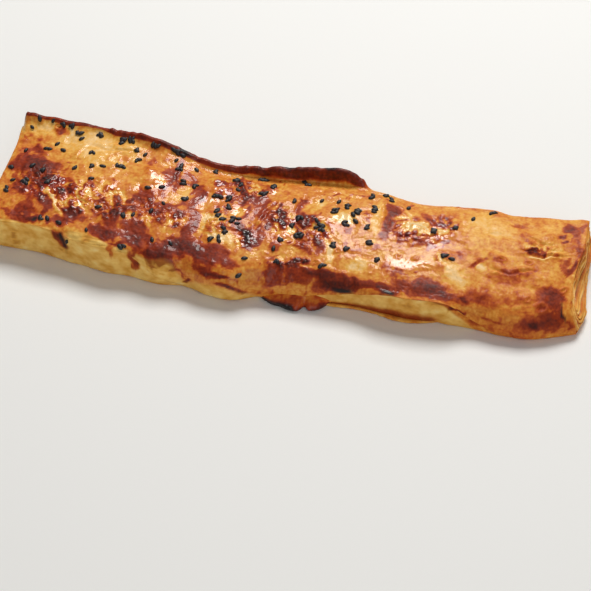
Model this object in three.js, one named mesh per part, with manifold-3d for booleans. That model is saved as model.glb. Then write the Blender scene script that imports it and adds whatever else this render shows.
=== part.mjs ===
// Spinach borek: thin dough sheets rolled round a filling, pressed flat and baked, in one piece.
// Millimetres, +Z up, long axis along X. It lies on the flat underside, with the origin under its
// middle. +Y is the back edge, where the outer sheet stands up as a thin baked lip.
//
// The crust is one loft. At each place x along the roll, a closed outline runs round it in seven
// zones, and "across" counts them: 0 underside, 1 foot of the front wall, 2 lower edge of the top
// sheet, 3 front face, 4 top, 5 lip, 6 back wall. So across = 4.5 is the middle of the top.
import * as THREE from 'three';
import { mergeVertices } from 'three/addons/utils/BufferGeometryUtils.js';
import Module from 'manifold-3d';

// ---- driving dimensions -------------------------------------------------------------------
const TOP_LEFT = -122.8;        // where the top sheet ends, left and right
const TOP_RIGHT = 122.6;
const LENGTHWAYS = -0.75;       // moves the whole form so that the origin is under its middle
const SIDEWAYS = 2.7;
const LOW_SHEETS_TO = 0.6;      // the lower sheets reach up to this share of the height at both ends
const LOW_SHEETS_FULL = 0.15;   // and reach out fully below this share
const END_SWELL = 0.7;          // the middle of an end face bulges out by this
const END_LAYER = 0.45;         // height of the layer ridges on an end face
const FOOT_RADIUS = 2.4;        // rounding between the walls and the underside
const BACK_RADIUS = 4.0;        // rounding between the top and the back wall, where no lip stands
const LIP_THICKNESS = 1.6;      // of the standing lip
const LIP_LEAN = 0.9;           // how far its rim leans back
const BACK_BULGE = 0.8;         // the back wall swells by this at half height
const BANK_FROM = 0.74;         // share of the top from which it rises towards the lip
const FLAKE_FROM = -1;          // a loose burnt flake sticks out of the front foot between these
const FLAKE_TO = 28;
const FLAKE_OUT = 4.6;          // how far it sticks out
const FLAKE_HEIGHT = 2.4;       // height of its middle above the underside
const FLAKE_HALF = 2.6;         // half its thickness where it joins the wall
const FLAKE_RISE = 9;           // it grows to its full width over this length, and ends over the next
const FLAKE_FALL = 6;
const HEM_AT_ENDS = 0.15;       // the edge of the top sheet thins to this at both ends
const SWELLING_FALL = 1.6;      // how fast a swelling dies away towards its edge

const STATIONS = 56;            // outlines spaced evenly along the roll,
// and the ones where the form turns sharply
const EXTRA_STATIONS = [TOP_LEFT + 1.2, 28.4, 30, 31.8, TOP_RIGHT - 1.5];
const ZONE_POINTS = [4, 3, 1, 6, 14, 8, 3];             // points in each zone of an outline
const CAP_RINGS = [0.93, 0.82, 0.66, 0.46, 0.22];       // rings on an end face, size to the outline

const SEED_LENGTH = 2.9;        // black seeds: length, width, thickness
const SEED_WIDTH = 1.75;
const SEED_THICKNESS = 1.5;
const SEED_SIDES = 6;
const SEED_SUNK = 0.25;         // depth of a seed's middle below the crust
const SEED_VARIES = 0.15;       // share by which seeds differ in size
const SEED_DRAW = 7;            // starts the draws that spread the seeds

// ---- the run of each size along the roll: [x, value] --------------------------------------
const frontEdge = along([-126, -29.8], [-100, -29.9], [-84, -32.1], [-67, -34.7], [-56, -34.6],
  [-44, -36.5], [-34, -34.8], [-22, -37.2], [-11, -37.6], [-3, -33.5], [6, -32], [34, -30.4], [58, -32],
  [74, -30.8], [88, -30.4], [98, -31.2], [108, -30.6], [114, -28.2], [119, -24.9], [123, -22]);
const backEdge = along([-126, 31.6], [-110, 31.4], [-85, 29.3], [-57, 26.8], [-36, 24], [-12, 25.6],
  [14, 28.6], [38, 27.6], [54, 25.8], [76, 28], [86, 28],
  [92, 26.8], [104, 28.5], [112, 29.6], [119, 31.2], [126, 32]);
const frontHeight = along([-126, 15.5], [-95, 18], [-30, 16], [60, 15.2], [104, 14.4], [126, 12.8]);
const backHeight = along([-126, 19], [-85, 20], [-60, 19.5], [-38, 17.8], [-4, 16.8], [34, 18],
  [52, 16.8], [72, 17.2], [90, 18], [126, 17.8]);
const crown = along([-126, 1.2], [-60, 2.4], [0, 3], [95, 2], [126, 1.4]);
const lipHeight = along([-126, 7.4], [-108, 5], [-85, 5], [-68, 6.2], [-57, 5.2], [-46, 3.5], [-36, 3], [-4, 5],
  [14, 6.5], [22, 5.6], [27, 3], [30.5, 1], [36, 0], [126, 0]);
// how much the top rises towards the lip, in front of it
const lipBank = along([-126, 2.4], [-85, 2.6], [-60, 2.4], [-44, 0.8], [-36, 0], [126, 0]);
const shoulderWidth = along([-126, 6], [-60, 7], [0, 9], [60, 8], [90, 12], [126, 15]);
const shoulderHeight = along([-126, 5], [-60, 6], [0, 9], [30, 6], [60, 6], [90, 10], [126, 11]);
const hemHeight = along([-126, 13.5], [-97, 16.8], [-80, 14.6], [-58, 14], [-44, 6], [-34, 2.4], [8, 2.4],
  [22, 6], [34, 8.8], [42, 11], [48, 13.2], [62, 13.8], [76, 12.6], [88, 3.4], [98, 2.4], [126, 2.4]);
const hemThickness = along([-126, 0.5], [-60, 0.6], [0, 0.5], [20, 1], [44, 1.9], [70, 1.7], [90, 0.7],
  [126, 0.5]);
const recess = along([-126, 0.2], [0, 0.2], [24, 0.5], [44, 1.5], [68, 1.3], [86, 0.2], [126, 0.1]);
// how far the top sheet and the lower sheets reach past TOP_LEFT and TOP_RIGHT: [y, value]
const leftTop = along([-30, 0], [0, -0.3], [16, 0.6], [24, 2], [32, 3.6]);
const leftLow = along([-30, 3.3], [24, 3.3], [32, 3.6]);
const rightTop = along([-24, 1.2], [-18, 0.8], [-12, 0.3], [-4, -0.2], [4, 0.4], [12, 1.6], [22, 1.3],
  [32, 1.2]);
const rightLow = along([-26, 3.2], [-20, 4.7], [-13, 6], [-5, 5.3], [3, 4.3], [12, 3.9], [32, 4]);

// ---- swellings of the filling under the top sheet: x, across, half length, half width, height ----
const SWELLINGS = [
  [-112, 4.55, 9, 0.18, 1.1], [-88, 4.78, 12, 0.16, 1.6], [-100, 4.22, 8, 0.13, 1.0],
  [-82, 4.3, 10, 0.12, 0.9], [-59, 4.7, 9, 0.15, 1.7], [-63, 4.22, 9, 0.14, 1.2],
  [-42, 4.33, 9, 0.14, 1.3], [-31, 4.76, 8, 0.14, 1.5], [-23, 4.35, 7, 0.12, 1.4],
  [-10, 4.85, 7, 0.1, 0.9], [0, 4.66, 8, 0.16, 1.6], [14, 4.5, 9, 0.15, 1.6],
  [28, 4.6, 6, 0.12, 1.2], [44, 4.75, 4, 0.12, 0.9], [56, 4.6, 11, 0.17, 2.0],
  [71, 4.65, 5, 0.12, 0.9], [90, 4.35, 10, 0.14, 0.9], [105, 4.7, 9, 0.14, 0.7],
  [24, 3.9, 15, 0.35, 0.9], [58, 3.85, 14, 0.35, 1.1], [-30, 3.6, 16, 0.4, 0.8],
];

// ---- seeds: x, across, how many, spread along, spread across --------------------------------
const SEED_GROUPS = [
  // along the back lip
  [-115.5, 5.35, 1, 0.8, 0.02], [-110.5, 5.32, 1, 0.6, 0.02], [-106, 5.24, 2, 1, 0.03],
  [-102.3, 5.28, 2, 1, 0.03], [-97.8, 5.02, 3, 1.4, 0.01], [-95.8, 4.94, 1, 0.5, 0.01],
  [-87.3, 5.13, 5, 2.8, 0.02], [-78.3, 4.99, 2, 0.8, 0.01], [-76, 5.17, 7, 3.4, 0.05],
  [-62.8, 5.21, 3, 1.6, 0.02], [-53.4, 5.28, 6, 3.2, 0.06], [-52.2, 4.98, 1, 0.4, 0.01],
  [-48.9, 4.94, 4, 0.9, 0.06], [-42.8, 4.96, 1, 0.4, 0.01], [-35, 5.12, 3, 0.8, 0.1],
  [-24.6, 4.94, 4, 1.2, 0.04], [-14, 5.03, 4, 1.2, 0.03], [3.3, 5.08, 2, 0.4, 0.05],
  [5.2, 4.95, 2, 0.6, 0.03], [33.8, 4.93, 2, 0.3, 0.03], [38.8, 5.02, 3, 0.4, 0.08],
  [41.3, 4.96, 2, 0.5, 0.02], [49.5, 4.9, 1, 0.4, 0.02], [84.3, 4.98, 3, 1.2, 0.01],
  // left end
  [-118.2, 4.99, 1, 0.3, 0.01], [-117.8, 4.7, 1, 0.3, 0.01], [-105.3, 4.84, 1, 0.4, 0.01],
  [-108.6, 4.76, 2, 0.6, 0.01], [-101.5, 4.78, 2, 0.6, 0.01], [-88.2, 4.8, 2, 0.5, 0.02],
  [-120, 4.48, 2, 0.7, 0.02], [-116.9, 4.34, 1, 0.3, 0.01], [-111.3, 4.34, 4, 1.2, 0.03],
  [-101, 4.37, 3, 0.6, 0.02], [-117.5, 4.22, 3, 1.1, 0.04], [-110.5, 4.52, 1, 0.4, 0.01],
  [-105.5, 4.49, 2, 0.6, 0.01], [-92.8, 4.58, 2, 0.8, 0.01], [-85.7, 4.63, 2, 0.4, 0.02],
  [-81, 4.67, 2, 0.6, 0.01], [-83.6, 4.5, 2, 0.7, 0.01], [-74.6, 4.735, 4, 2, 0.01],
  [-70.3, 4.96, 2, 0.3, 0.02], [-65.8, 4.94, 1, 0.4, 0.01], [-67.9, 4.855, 2, 0.5, 0.02],
  [-74.8, 4.22, 1, 0.4, 0.01], [-63.6, 4.19, 2, 0.5, 0.01], [-76.1, 3.81, 1, 0.3, 0.02],
  [-89, 3.74, 1, 0.3, 0.02], [-96, 3.66, 4, 2.4, 0.12], [-84.5, 1.8, 1, 0.5, 0.05],
  [-60, 3.35, 3, 1.2, 0.07],
  // middle
  [-22.2, 4.82, 4, 0.6, 0.06], [-8, 4.88, 5, 0.5, 0.05], [-11, 4.775, 4, 2.2, 0.01],
  [-46, 4.745, 3, 1, 0.02], [-40, 4.735, 3, 0.8, 0.03], [-42, 4.6, 4, 1.1, 0.06],
  [-57.8, 4.55, 1, 0.4, 0.01], [-52.6, 4.585, 1, 0.4, 0.01], [-29.7, 4.65, 4, 1.8, 0.01],
  [-24.2, 4.65, 3, 0.6, 0.03], [-22.8, 4.55, 3, 0.5, 0.03], [-26.2, 4.45, 5, 0.8, 0.04],
  [-23.3, 4.375, 3, 0.9, 0.01], [-17.2, 4.4, 5, 1.8, 0.03], [-20.2, 4.265, 4, 1.5, 0.03],
  [-21.7, 4.17, 2, 0.7, 0.02], [-25.4, 4.15, 2, 0.6, 0.01], [-49.3, 4.43, 1, 0.4, 0.01],
  [-59.7, 4.22, 1, 0.4, 0.01], [-52.6, 4.3, 1, 0.4, 0.01], [-48.4, 4.04, 1, 0.4, 0.01],
  [-40.1, 4.04, 1, 0.4, 0.01], [-8.4, 4.01, 1, 0.4, 0.01], [-9.3, 3.62, 1, 0.4, 0.02],
  // right of the middle
  [3, 4.67, 2, 0.3, 0.02], [13.4, 4.74, 1, 0.4, 0.01], [20.8, 4.755, 1, 0.4, 0.01],
  [20.6, 4.62, 4, 1.3, 0.03], [25.2, 4.68, 4, 0.6, 0.05], [29.7, 4.635, 5, 1.1, 0.05],
  [31, 4.525, 1, 0.4, 0.01], [36.3, 4.745, 5, 1, 0.04], [35.6, 4.49, 3, 0.7, 0.02],
  [27, 4.475, 3, 0.8, 0.02], [7.8, 4.455, 3, 0.8, 0.015], [5.3, 4.375, 2, 0.4, 0.02],
  [17.2, 4.38, 7, 2.2, 0.05], [10, 4.26, 5, 1.9, 0.02], [25.1, 4.22, 4, 0.6, 0.04],
  [29.9, 4.19, 2, 0.7, 0.01], [39.3, 4.315, 2, 1, 0.01], [43.7, 4.155, 2, 0.4, 0.02],
  [2.8, 4.185, 3, 0.9, 0.01], [1.2, 4.08, 2, 0.4, 0.01], [4.1, 3.88, 2, 0.5, 0.03],
  [22.8, 3.93, 2, 0.6, 0.03],
  // right end
  [63.1, 4.62, 4, 0.8, 0.02], [71.2, 4.65, 2, 0.3, 0.03], [76.9, 4.85, 1, 0.3, 0.01],
  [70.1, 4.315, 4, 1, 0.015], [73.2, 4.28, 1, 0.3, 0.01],
];

// A smooth run through knots [x, value].
function along(...knots) {
  const slope = knots.map((knot, i) => {
    const a = knots[Math.max(i - 1, 0)];
    const b = knots[Math.min(i + 1, knots.length - 1)];
    return (b[1] - a[1]) / (b[0] - a[0]);
  });
  return (x) => {
    const place = THREE.MathUtils.clamp(x, knots[0][0], knots[knots.length - 1][0]);
    let i = knots.findIndex((knot) => knot[0] > place) - 1;
    if (i < 0) i = knots.length - 2;
    const width = knots[i + 1][0] - knots[i][0];
    const t = (place - knots[i][0]) / width;
    const rise = t * t * (3 - 2 * t);
    return knots[i][1] * (1 - rise) + knots[i + 1][1] * rise
      + width * t * (1 - t) * ((1 - t) * slope[i] - t * slope[i + 1]);
  };
}

// 0 before a, 1 after b, smooth between.
function step(a, b, value) {
  const t = THREE.MathUtils.clamp((value - a) / (b - a), 0, 1);
  return t * t * (3 - 2 * t);
}

// How far from the ends the lip and the hem have come to their full size, 0 to 1.
function wholeness(x) {
  return step(TOP_LEFT, TOP_LEFT + 2.5, x) * step(TOP_RIGHT, TOP_RIGHT - 4, x);
}

// Height added by the swellings at a place on the skin.
function swelling(x, across) {
  return SWELLINGS.reduce((sum, [cx, ca, rx, ra, height]) => {
    const d2 = ((x - cx) / rx) ** 2 + ((across - ca) / ra) ** 2;
    return sum + height * Math.exp(-d2 * SWELLING_FALL);
  }, 0);
}

// The outline at x: y and z of the point at a given "across".
function outline(x, across) {
  const zone = Math.min(Math.floor(across), ZONE_POINTS.length - 1);
  const t = across - zone;
  const whole = wholeness(x);
  const front = frontEdge(x);
  const back = backEdge(x);
  const zFront = frontHeight(x);
  const zBack = backHeight(x);
  const hem = HEM_AT_ENDS + (hemThickness(x) - HEM_AT_ENDS) * whole;
  const inset = recess(x) * whole;
  const zHem = Math.min(hemHeight(x), zFront - 1);
  const wall = front + hem;
  const wide = shoulderWidth(x);
  const high = shoulderHeight(x);
  const flakeShape = step(FLAKE_FROM, FLAKE_FROM + FLAKE_RISE, x) * step(FLAKE_TO, FLAKE_TO - FLAKE_FALL, x);
  const flake = (z) => FLAKE_OUT * flakeShape * Math.exp(-(((z - FLAKE_HEIGHT) / FLAKE_HALF) ** 2));
  const lift = swelling(x, across);

  if (zone === 0) {
    const from = back - FOOT_RADIUS;
    return [from + (wall + FOOT_RADIUS - from) * t, 0];
  }
  if (zone === 1) {
    const z = zHem * t;
    return [wall + footCurve(z) + inset * t ** 1.5 - flake(z), z];
  }
  if (zone === 2) {
    return [wall + inset - (hem + inset) * t - flake(zHem), zHem - 0.3 * (1 - t)];
  }
  if (zone === 3) {
    // straight up from the hem, then a quarter ellipse onto the top
    const base = zFront - high;
    const start = Math.asin(THREE.MathUtils.clamp((Math.max(base, zHem) - base) / high, 0, 1));
    const straight = Math.max(base - zHem, 0);
    const arc = (Math.PI / 2 - start) * Math.hypot(wide, high) * Math.SQRT1_2;
    const run = t * (straight + arc);
    const angle = start + (Math.PI / 2 - start) * Math.max(run - straight, 0) / arc;
    const y = front + wide * (1 - Math.cos(angle)) - wide * (1 - Math.cos(start)) * (1 - t);
    const z = run < straight ? zHem + run : base + high * Math.sin(angle);
    const turn = t * Math.PI / 2;
    return [y - lift * Math.cos(turn) - flake(z), z + lift * Math.sin(turn)];
  }
  const topEnd = back - BACK_RADIUS;
  if (zone === 4) {
    const from = front + wide;
    const bow = crown(x) * (1 - (2 * t - 1) ** 2) ** 0.8;
    const bank = lipBank(x) * whole * Math.max((t - BANK_FROM) / (1 - BANK_FROM), 0) ** 2;
    return [from + (topEnd - from) * t, zFront + (zBack - zFront) * t + bow + lift + bank];
  }
  if (zone === 5) {
    const turn = t * Math.PI / 2;
    const round = [topEnd + BACK_RADIUS * Math.sin(turn), zBack - BACK_RADIUS * (1 - Math.cos(turn))];
    const height = lipHeight(x) * whole;
    const standing = lipOutline(back, zBack, lipBank(x) * whole, height, t);
    const share = step(0, 2.5, height);
    const fade = lift * (1 - step(0, 0.2, t));
    return [
      round[0] + (standing[0] - round[0]) * share,
      round[1] + (standing[1] - round[1]) * share + fade,
    ];
  }
  const z = (zBack - BACK_RADIUS) * (1 - t);
  const bulge = BACK_BULGE * Math.sin(Math.PI * z / (zBack - BACK_RADIUS));
  return [back - footCurve(z) + bulge, z];
}

// How far the wall curves in at height z above the underside.
function footCurve(z) {
  const k = 1 - Math.min(z / FOOT_RADIUS, 1);
  return FOOT_RADIUS * (1 - Math.sqrt(1 - k * k));
}

// The standing lip: up its inner face, over the rim and down its outer face to the back wall.
function lipOutline(back, z, rise, height, t) {
  const inner = back - LIP_THICKNESS;
  const path = [
    [0, back - BACK_RADIUS, z + rise],
    [0.16, inner - 0.3, z + 0.1 + rise * 1.2],
    [0.32, inner + 0.3 * LIP_LEAN, z + height * 0.55 + rise * 0.6],
    [0.46, inner + LIP_LEAN, z + height * 0.96],
    [0.54, back + LIP_LEAN - 0.3, z + height],
    [0.62, back + LIP_LEAN, z + height * 0.86],
    [0.76, back + 0.3 * LIP_LEAN, z + height * 0.4],
    [0.88, back, z - 0.5],
    [1, back, z - BACK_RADIUS],
  ];
  const i = Math.min(path.findIndex((stop) => stop[0] > t), path.length - 1) - 1;
  const share = (t - path[i][0]) / (path[i + 1][0] - path[i][0]);
  return [1, 2].map((k) => path[i][k] + (path[i + 1][k] - path[i][k]) * share);
}

// A point of the skin. The lower sheets reach past the top sheet at both ends.
function skin(x, across) {
  const [y, z] = outline(x, across);
  const low = step(LOW_SHEETS_TO, LOW_SHEETS_FULL, z / backHeight(x));
  const right = step(TOP_RIGHT - 16, TOP_RIGHT, x);
  const left = step(TOP_LEFT + 16, TOP_LEFT, x);
  const toRight = right * THREE.MathUtils.lerp(rightTop(y), rightLow(y), low);
  const toLeft = left * THREE.MathUtils.lerp(leftTop(y), leftLow(y), low);
  return new THREE.Vector3(x + toRight - toLeft + LENGTHWAYS, y + SIDEWAYS, z);
}

// The skin and both end faces as one closed geometry.
function crustGeometry() {
  const points = [];
  const faces = [];
  const inZone = (count, zone) => Array.from({ length: count }, (_, i) => zone + i / count);
  const places = ZONE_POINTS.flatMap(inZone);
  const ring = places.length;
  const stationAt = (_, i) => THREE.MathUtils.lerp(TOP_LEFT, TOP_RIGHT, i / (STATIONS - 1));
  const even = Array.from({ length: STATIONS }, stationAt);
  const stations = [...even, ...EXTRA_STATIONS].sort((a, b) => a - b);
  stations.forEach((x) => places.forEach((across) => points.push(skin(x, across))));
  const joinRings = (a, b) => {
    for (let j = 0; j < ring; j++) {
      const k = (j + 1) % ring;
      faces.push([a + j, b + k, a + k], [a + j, b + j, b + k]);
    }
  };
  for (let i = 0; i + 1 < stations.length; i++) joinRings(i * ring, (i + 1) * ring);

  // an end face: rings that shrink towards its middle line, ridged like the edges of the sheets
  const closeEnd = (edge, outward) => {
    const rim = points.slice(edge, edge + ring);
    const middle = rim.reduce((sum, p) => sum.add(p), new THREE.Vector3()).divideScalar(ring);
    let last = edge;
    CAP_RINGS.forEach((size, layer) => {
      const ridge = layer % 2 === 0 ? -END_LAYER : END_LAYER;
      const out = outward * (END_SWELL * (1 - size * size) + ridge);
      const first = points.length;
      rim.forEach((p) => {
        const y = middle.y + (p.y - middle.y) * (0.4 + 0.6 * size);
        const z = middle.z + (p.z - middle.z) * size;
        points.push(new THREE.Vector3(p.x + (middle.x - p.x) * (1 - size) ** 2 + out, y, z));
      });
      outward > 0 ? joinRings(last, first) : joinRings(first, last);
      last = first;
    });
    const tip = points.length;
    points.push(new THREE.Vector3(middle.x + outward * END_SWELL, middle.y, middle.z));
    for (let j = 0; j < ring; j++) {
      const k = (j + 1) % ring;
      faces.push(outward > 0 ? [last + k, last + j, tip] : [last + j, last + k, tip]);
    }
  };
  closeEnd(0, -1);
  closeEnd((stations.length - 1) * ring, 1);

  const geometry = new THREE.BufferGeometry().setFromPoints(points);
  geometry.setIndex(faces.flat());
  return geometry;
}

// Seeded draws between 0 and 1.
function draws(seed) {
  let state = seed;
  return () => {
    state = (Math.imul(state, 1664525) + 1013904223) >>> 0;
    return state / 4294967296;
  };
}

// A seed, a small ellipsoid that lies on the skin.
function seedGeometry(x, across, heading, size) {
  const middle = skin(x, across);
  const lengthways = skin(x + 0.5, across).sub(middle).normalize();
  const sideways = skin(x, across + 0.01).sub(middle).normalize();
  const up = new THREE.Vector3().crossVectors(lengthways, sideways).normalize();
  const side = new THREE.Vector3().crossVectors(up, lengthways);
  const geometry = new THREE.SphereGeometry(1, SEED_SIDES, 2);
  geometry.rotateX(Math.PI / 2);
  geometry.scale(SEED_LENGTH * size / 2, SEED_WIDTH * size / 2, SEED_THICKNESS * size / 2);
  geometry.rotateZ(heading);
  geometry.applyMatrix4(new THREE.Matrix4().makeBasis(lengthways, side, up));
  const place = middle.addScaledVector(up, -SEED_SUNK);
  return geometry.translate(place.x, place.y, place.z);
}

// All the seeds, spread round the middles of their groups and turned at random.
function seedGeometries() {
  const draw = draws(SEED_DRAW);
  const spread = (middle, reach) => middle + (2 * draw() - 1) * reach;
  return SEED_GROUPS.flatMap(([cx, ca, count, alongSpread, acrossSpread]) => (
    Array.from({ length: count }, () => {
      const x = spread(cx, alongSpread);
      const across = spread(ca, acrossSpread);
      return seedGeometry(x, across, draw() * Math.PI, spread(1, SEED_VARIES));
    })
  ));
}

const wasm = await Module();
wasm.setup();

function solidOf(geometry) {
  geometry.deleteAttribute('normal');
  geometry.deleteAttribute('uv');
  const merged = mergeVertices(geometry, 1e-4);
  return new wasm.Manifold(new wasm.Mesh({
    numProp: 3,
    vertProperties: Float32Array.from(merged.attributes.position.array),
    triVerts: Uint32Array.from(merged.index.array),
  }));
}

function geometryOf(solid) {
  const mesh = solid.getMesh();
  const geometry = new THREE.BufferGeometry();
  geometry.setAttribute('position', new THREE.BufferAttribute(Float32Array.from(mesh.vertProperties), 3));
  geometry.setIndex(new THREE.BufferAttribute(Uint32Array.from(mesh.triVerts), 1));
  geometry.computeVertexNormals();
  return geometry;
}

let borekSolid = solidOf(crustGeometry());
seedGeometries().forEach((seed) => {
  borekSolid = borekSolid.add(solidOf(seed));
});

const baked = new THREE.MeshStandardMaterial({ color: '#c8752f', roughness: 0.42, metalness: 0 });
const borek = new THREE.Mesh(geometryOf(borekSolid), baked);
borek.name = 'borek';

const model = new THREE.Group();
model.add(borek);
export default model;
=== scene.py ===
"""Spinach borek: a rolled, flattened and baked length of filled dough sheets, with black seeds.

The crust is one loft round named outlines, in millimetres in the frame of the solid part. "across"
counts the seven zones of an outline: 0 underside, 1 foot of the front wall, 2 lower edge of the top
sheet, 3 front face, 4 top, 5 standing lip, 6 back wall. So across = 4.5 is the middle of the top.
"""

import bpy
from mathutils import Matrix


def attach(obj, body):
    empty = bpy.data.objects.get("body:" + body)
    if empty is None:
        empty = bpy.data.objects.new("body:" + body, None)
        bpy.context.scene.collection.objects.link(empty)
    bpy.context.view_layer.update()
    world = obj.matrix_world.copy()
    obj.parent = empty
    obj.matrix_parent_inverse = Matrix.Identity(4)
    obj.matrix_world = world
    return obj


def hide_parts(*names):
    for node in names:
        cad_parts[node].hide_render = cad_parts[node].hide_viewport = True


bl_info = {
    "name": "Spinach borek",
    "version": (1, 0, 0),
    "blender": (4, 5, 0),
    "location": "3D View > Sidebar > Borek",
    "description": "Builds a baked borek with a glazed, blistered crust, flaky ends and black seeds",
    "category": "Object",
}

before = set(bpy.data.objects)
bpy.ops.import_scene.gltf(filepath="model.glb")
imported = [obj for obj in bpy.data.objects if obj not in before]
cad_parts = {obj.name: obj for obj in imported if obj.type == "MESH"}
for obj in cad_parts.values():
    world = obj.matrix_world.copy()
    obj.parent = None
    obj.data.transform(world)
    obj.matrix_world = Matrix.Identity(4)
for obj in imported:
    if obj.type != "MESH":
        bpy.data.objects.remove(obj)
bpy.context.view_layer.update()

import math

import bpy
import numpy as np
from bpy.props import FloatProperty, FloatVectorProperty, IntProperty, PointerProperty
from mathutils import Vector

MM = 0.001
BODY = "root"

# ---- driving dimensions, millimetres ---------------------------------------------------------
TOP_LEFT = -122.8           # where the top sheet ends, left and right
TOP_RIGHT = 122.6
LENGTHWAYS = -0.75          # moves the whole form so that the origin is under its middle
SIDEWAYS = 2.7
LOW_SHEETS_TO = 0.6         # the lower sheets reach up to this share of the height at both ends
LOW_SHEETS_FULL = 0.15      # and reach out fully below this share
FOOT_RADIUS = 2.4           # rounding between the walls and the underside
BACK_RADIUS = 4.0           # rounding between the top and the back wall, where no lip stands
LIP_THICKNESS = 1.6
LIP_LEAN = 0.9              # how far the lip's rim leans back
BACK_BULGE = 0.8            # the back wall swells by this at half height
BANK_FROM = 0.74            # share of the top from which it rises towards the lip
FLOOR_HALF = 2000.0         # half a side of the square floor


def along(*knots):
    """A smooth run through knots (place, value), as a function of arrays of places."""
    places = np.array([knot[0] for knot in knots], float)
    values = np.array([knot[1] for knot in knots], float)
    slopes = np.empty_like(values)
    slopes[1:-1] = (values[2:] - values[:-2]) / (places[2:] - places[:-2])
    slopes[0] = (values[1] - values[0]) / (places[1] - places[0])
    slopes[-1] = (values[-1] - values[-2]) / (places[-1] - places[-2])

    def run(x):
        x = np.clip(np.asarray(x, float), places[0], places[-1])
        i = np.clip(np.searchsorted(places, x, side="right") - 1, 0, len(places) - 2)
        width = places[i + 1] - places[i]
        t = (x - places[i]) / width
        rise = t * t * (3 - 2 * t)
        bend = width * t * (1 - t) * ((1 - t) * slopes[i] - t * slopes[i + 1])
        return values[i] * (1 - rise) + values[i + 1] * rise + bend

    return run


# ---- the run of each size along the roll: (x, value) ------------------------------------------
front_edge = along((-126, -29.8), (-100, -29.9), (-84, -32.1), (-67, -34.7), (-56, -34.6), (-44, -36.5),
                   (-34, -34.8), (-22, -37.2), (-11, -37.6), (-3, -33.5), (6, -32), (34, -30.4), (58, -32),
                   (74, -30.8), (88, -30.4), (98, -31.2), (108, -30.6), (114, -28.2), (119, -24.9),
                   (123, -22))
back_edge = along((-126, 31.6), (-110, 31.4), (-85, 29.3), (-57, 26.8), (-36, 24), (-12, 25.6),
                  (14, 28.6), (38, 27.6), (54, 25.8), (76, 28), (86, 28),
                  (92, 26.8), (104, 28.5), (112, 29.6), (119, 31.2), (126, 32))
front_height = along((-126, 15.5), (-95, 18), (-30, 16), (60, 15.2), (104, 14.4), (126, 12.8))
back_height = along((-126, 19), (-85, 20), (-60, 19.5), (-38, 17.8), (-4, 16.8), (34, 18), (52, 16.8),
                    (72, 17.2), (90, 18), (126, 17.8))
crown = along((-126, 1.2), (-60, 2.4), (0, 3), (95, 2), (126, 1.4))
lip_height = along((-126, 7.4), (-108, 5), (-85, 5), (-68, 6.2), (-57, 5.2), (-46, 3.5), (-36, 3),
                   (-4, 5), (14, 6.5), (22, 5.6), (27, 3), (30.5, 1), (36, 0), (126, 0))
lip_bank = along((-126, 2.4), (-85, 2.6), (-60, 2.4), (-44, 0.8), (-36, 0), (126, 0))
shoulder_width = along((-126, 6), (-60, 7), (0, 9), (60, 8), (90, 12), (126, 15))
shoulder_height = along((-126, 5), (-60, 6), (0, 9), (30, 6), (60, 6), (90, 10), (126, 11))
hem_height = along((-126, 13.5), (-97, 16.8), (-80, 14.6), (-58, 14), (-44, 6), (-34, 2.4), (8, 2.4),
                   (22, 6), (34, 8.8), (42, 11), (48, 13.2), (62, 13.8), (76, 12.8), (84, 8), (92, 4),
                   (100, 2.4), (126, 2.4))
hem_thickness = along((-126, 0.5), (-60, 0.6), (0, 0.5), (20, 1), (44, 1.9), (70, 1.7), (90, 0.7),
                      (126, 0.5))
recess = along((-126, 0.2), (0, 0.2), (24, 0.5), (44, 1.5), (68, 1.3), (86, 0.2), (126, 0.1))
# how far the top sheet and the lower sheets reach past TOP_LEFT and TOP_RIGHT: (y, value)
left_top = along((-30, 0), (0, -0.3), (16, 0.6), (24, 2), (32, 3.6))
left_low = along((-30, 3.3), (24, 3.3), (32, 3.6))
right_top = along((-24, 1.2), (-18, 0.8), (-12, 0.3), (-4, -0.2), (4, 0.4), (12, 1.6), (22, 1.3),
                  (32, 1.2))
right_low = along((-26, 3.2), (-20, 4.7), (-13, 6), (-5, 5.3), (3, 4.3), (12, 3.9), (32, 4))
# the egg wash ends here, in "across"; below it the dough is bare and pale
wash_line = along((-126, 3.2), (-108, 3.16), (-98, 2.95), (-90, 3.2), (-80, 3.5), (-70, 3.45),
                  (-62, 3.22), (-48, 3.39), (-42, 3.58), (-38, 3.5), (-34, 3.2), (-31.5, 3.12), (-26, 3.22),
                  (-19, 3.28), (-12, 3.2), (-5, 3.05), (2, 2.85), (18, 2.8), (24, 2.6),
                  (62, 2.6), (72, 1.85), (84, 1.45), (90, 0.9), (126, 0.9))

# from here up, in "across", the lip is browned
lip_brown_from = along((-126, 5.38), (-112, 5.28), (-104, 5.2), (-97, 5.36), (-89, 5.36), (-80, 5.2),
                       (-62, 5.22), (-38, 5.18), (126, 5.2))

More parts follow.
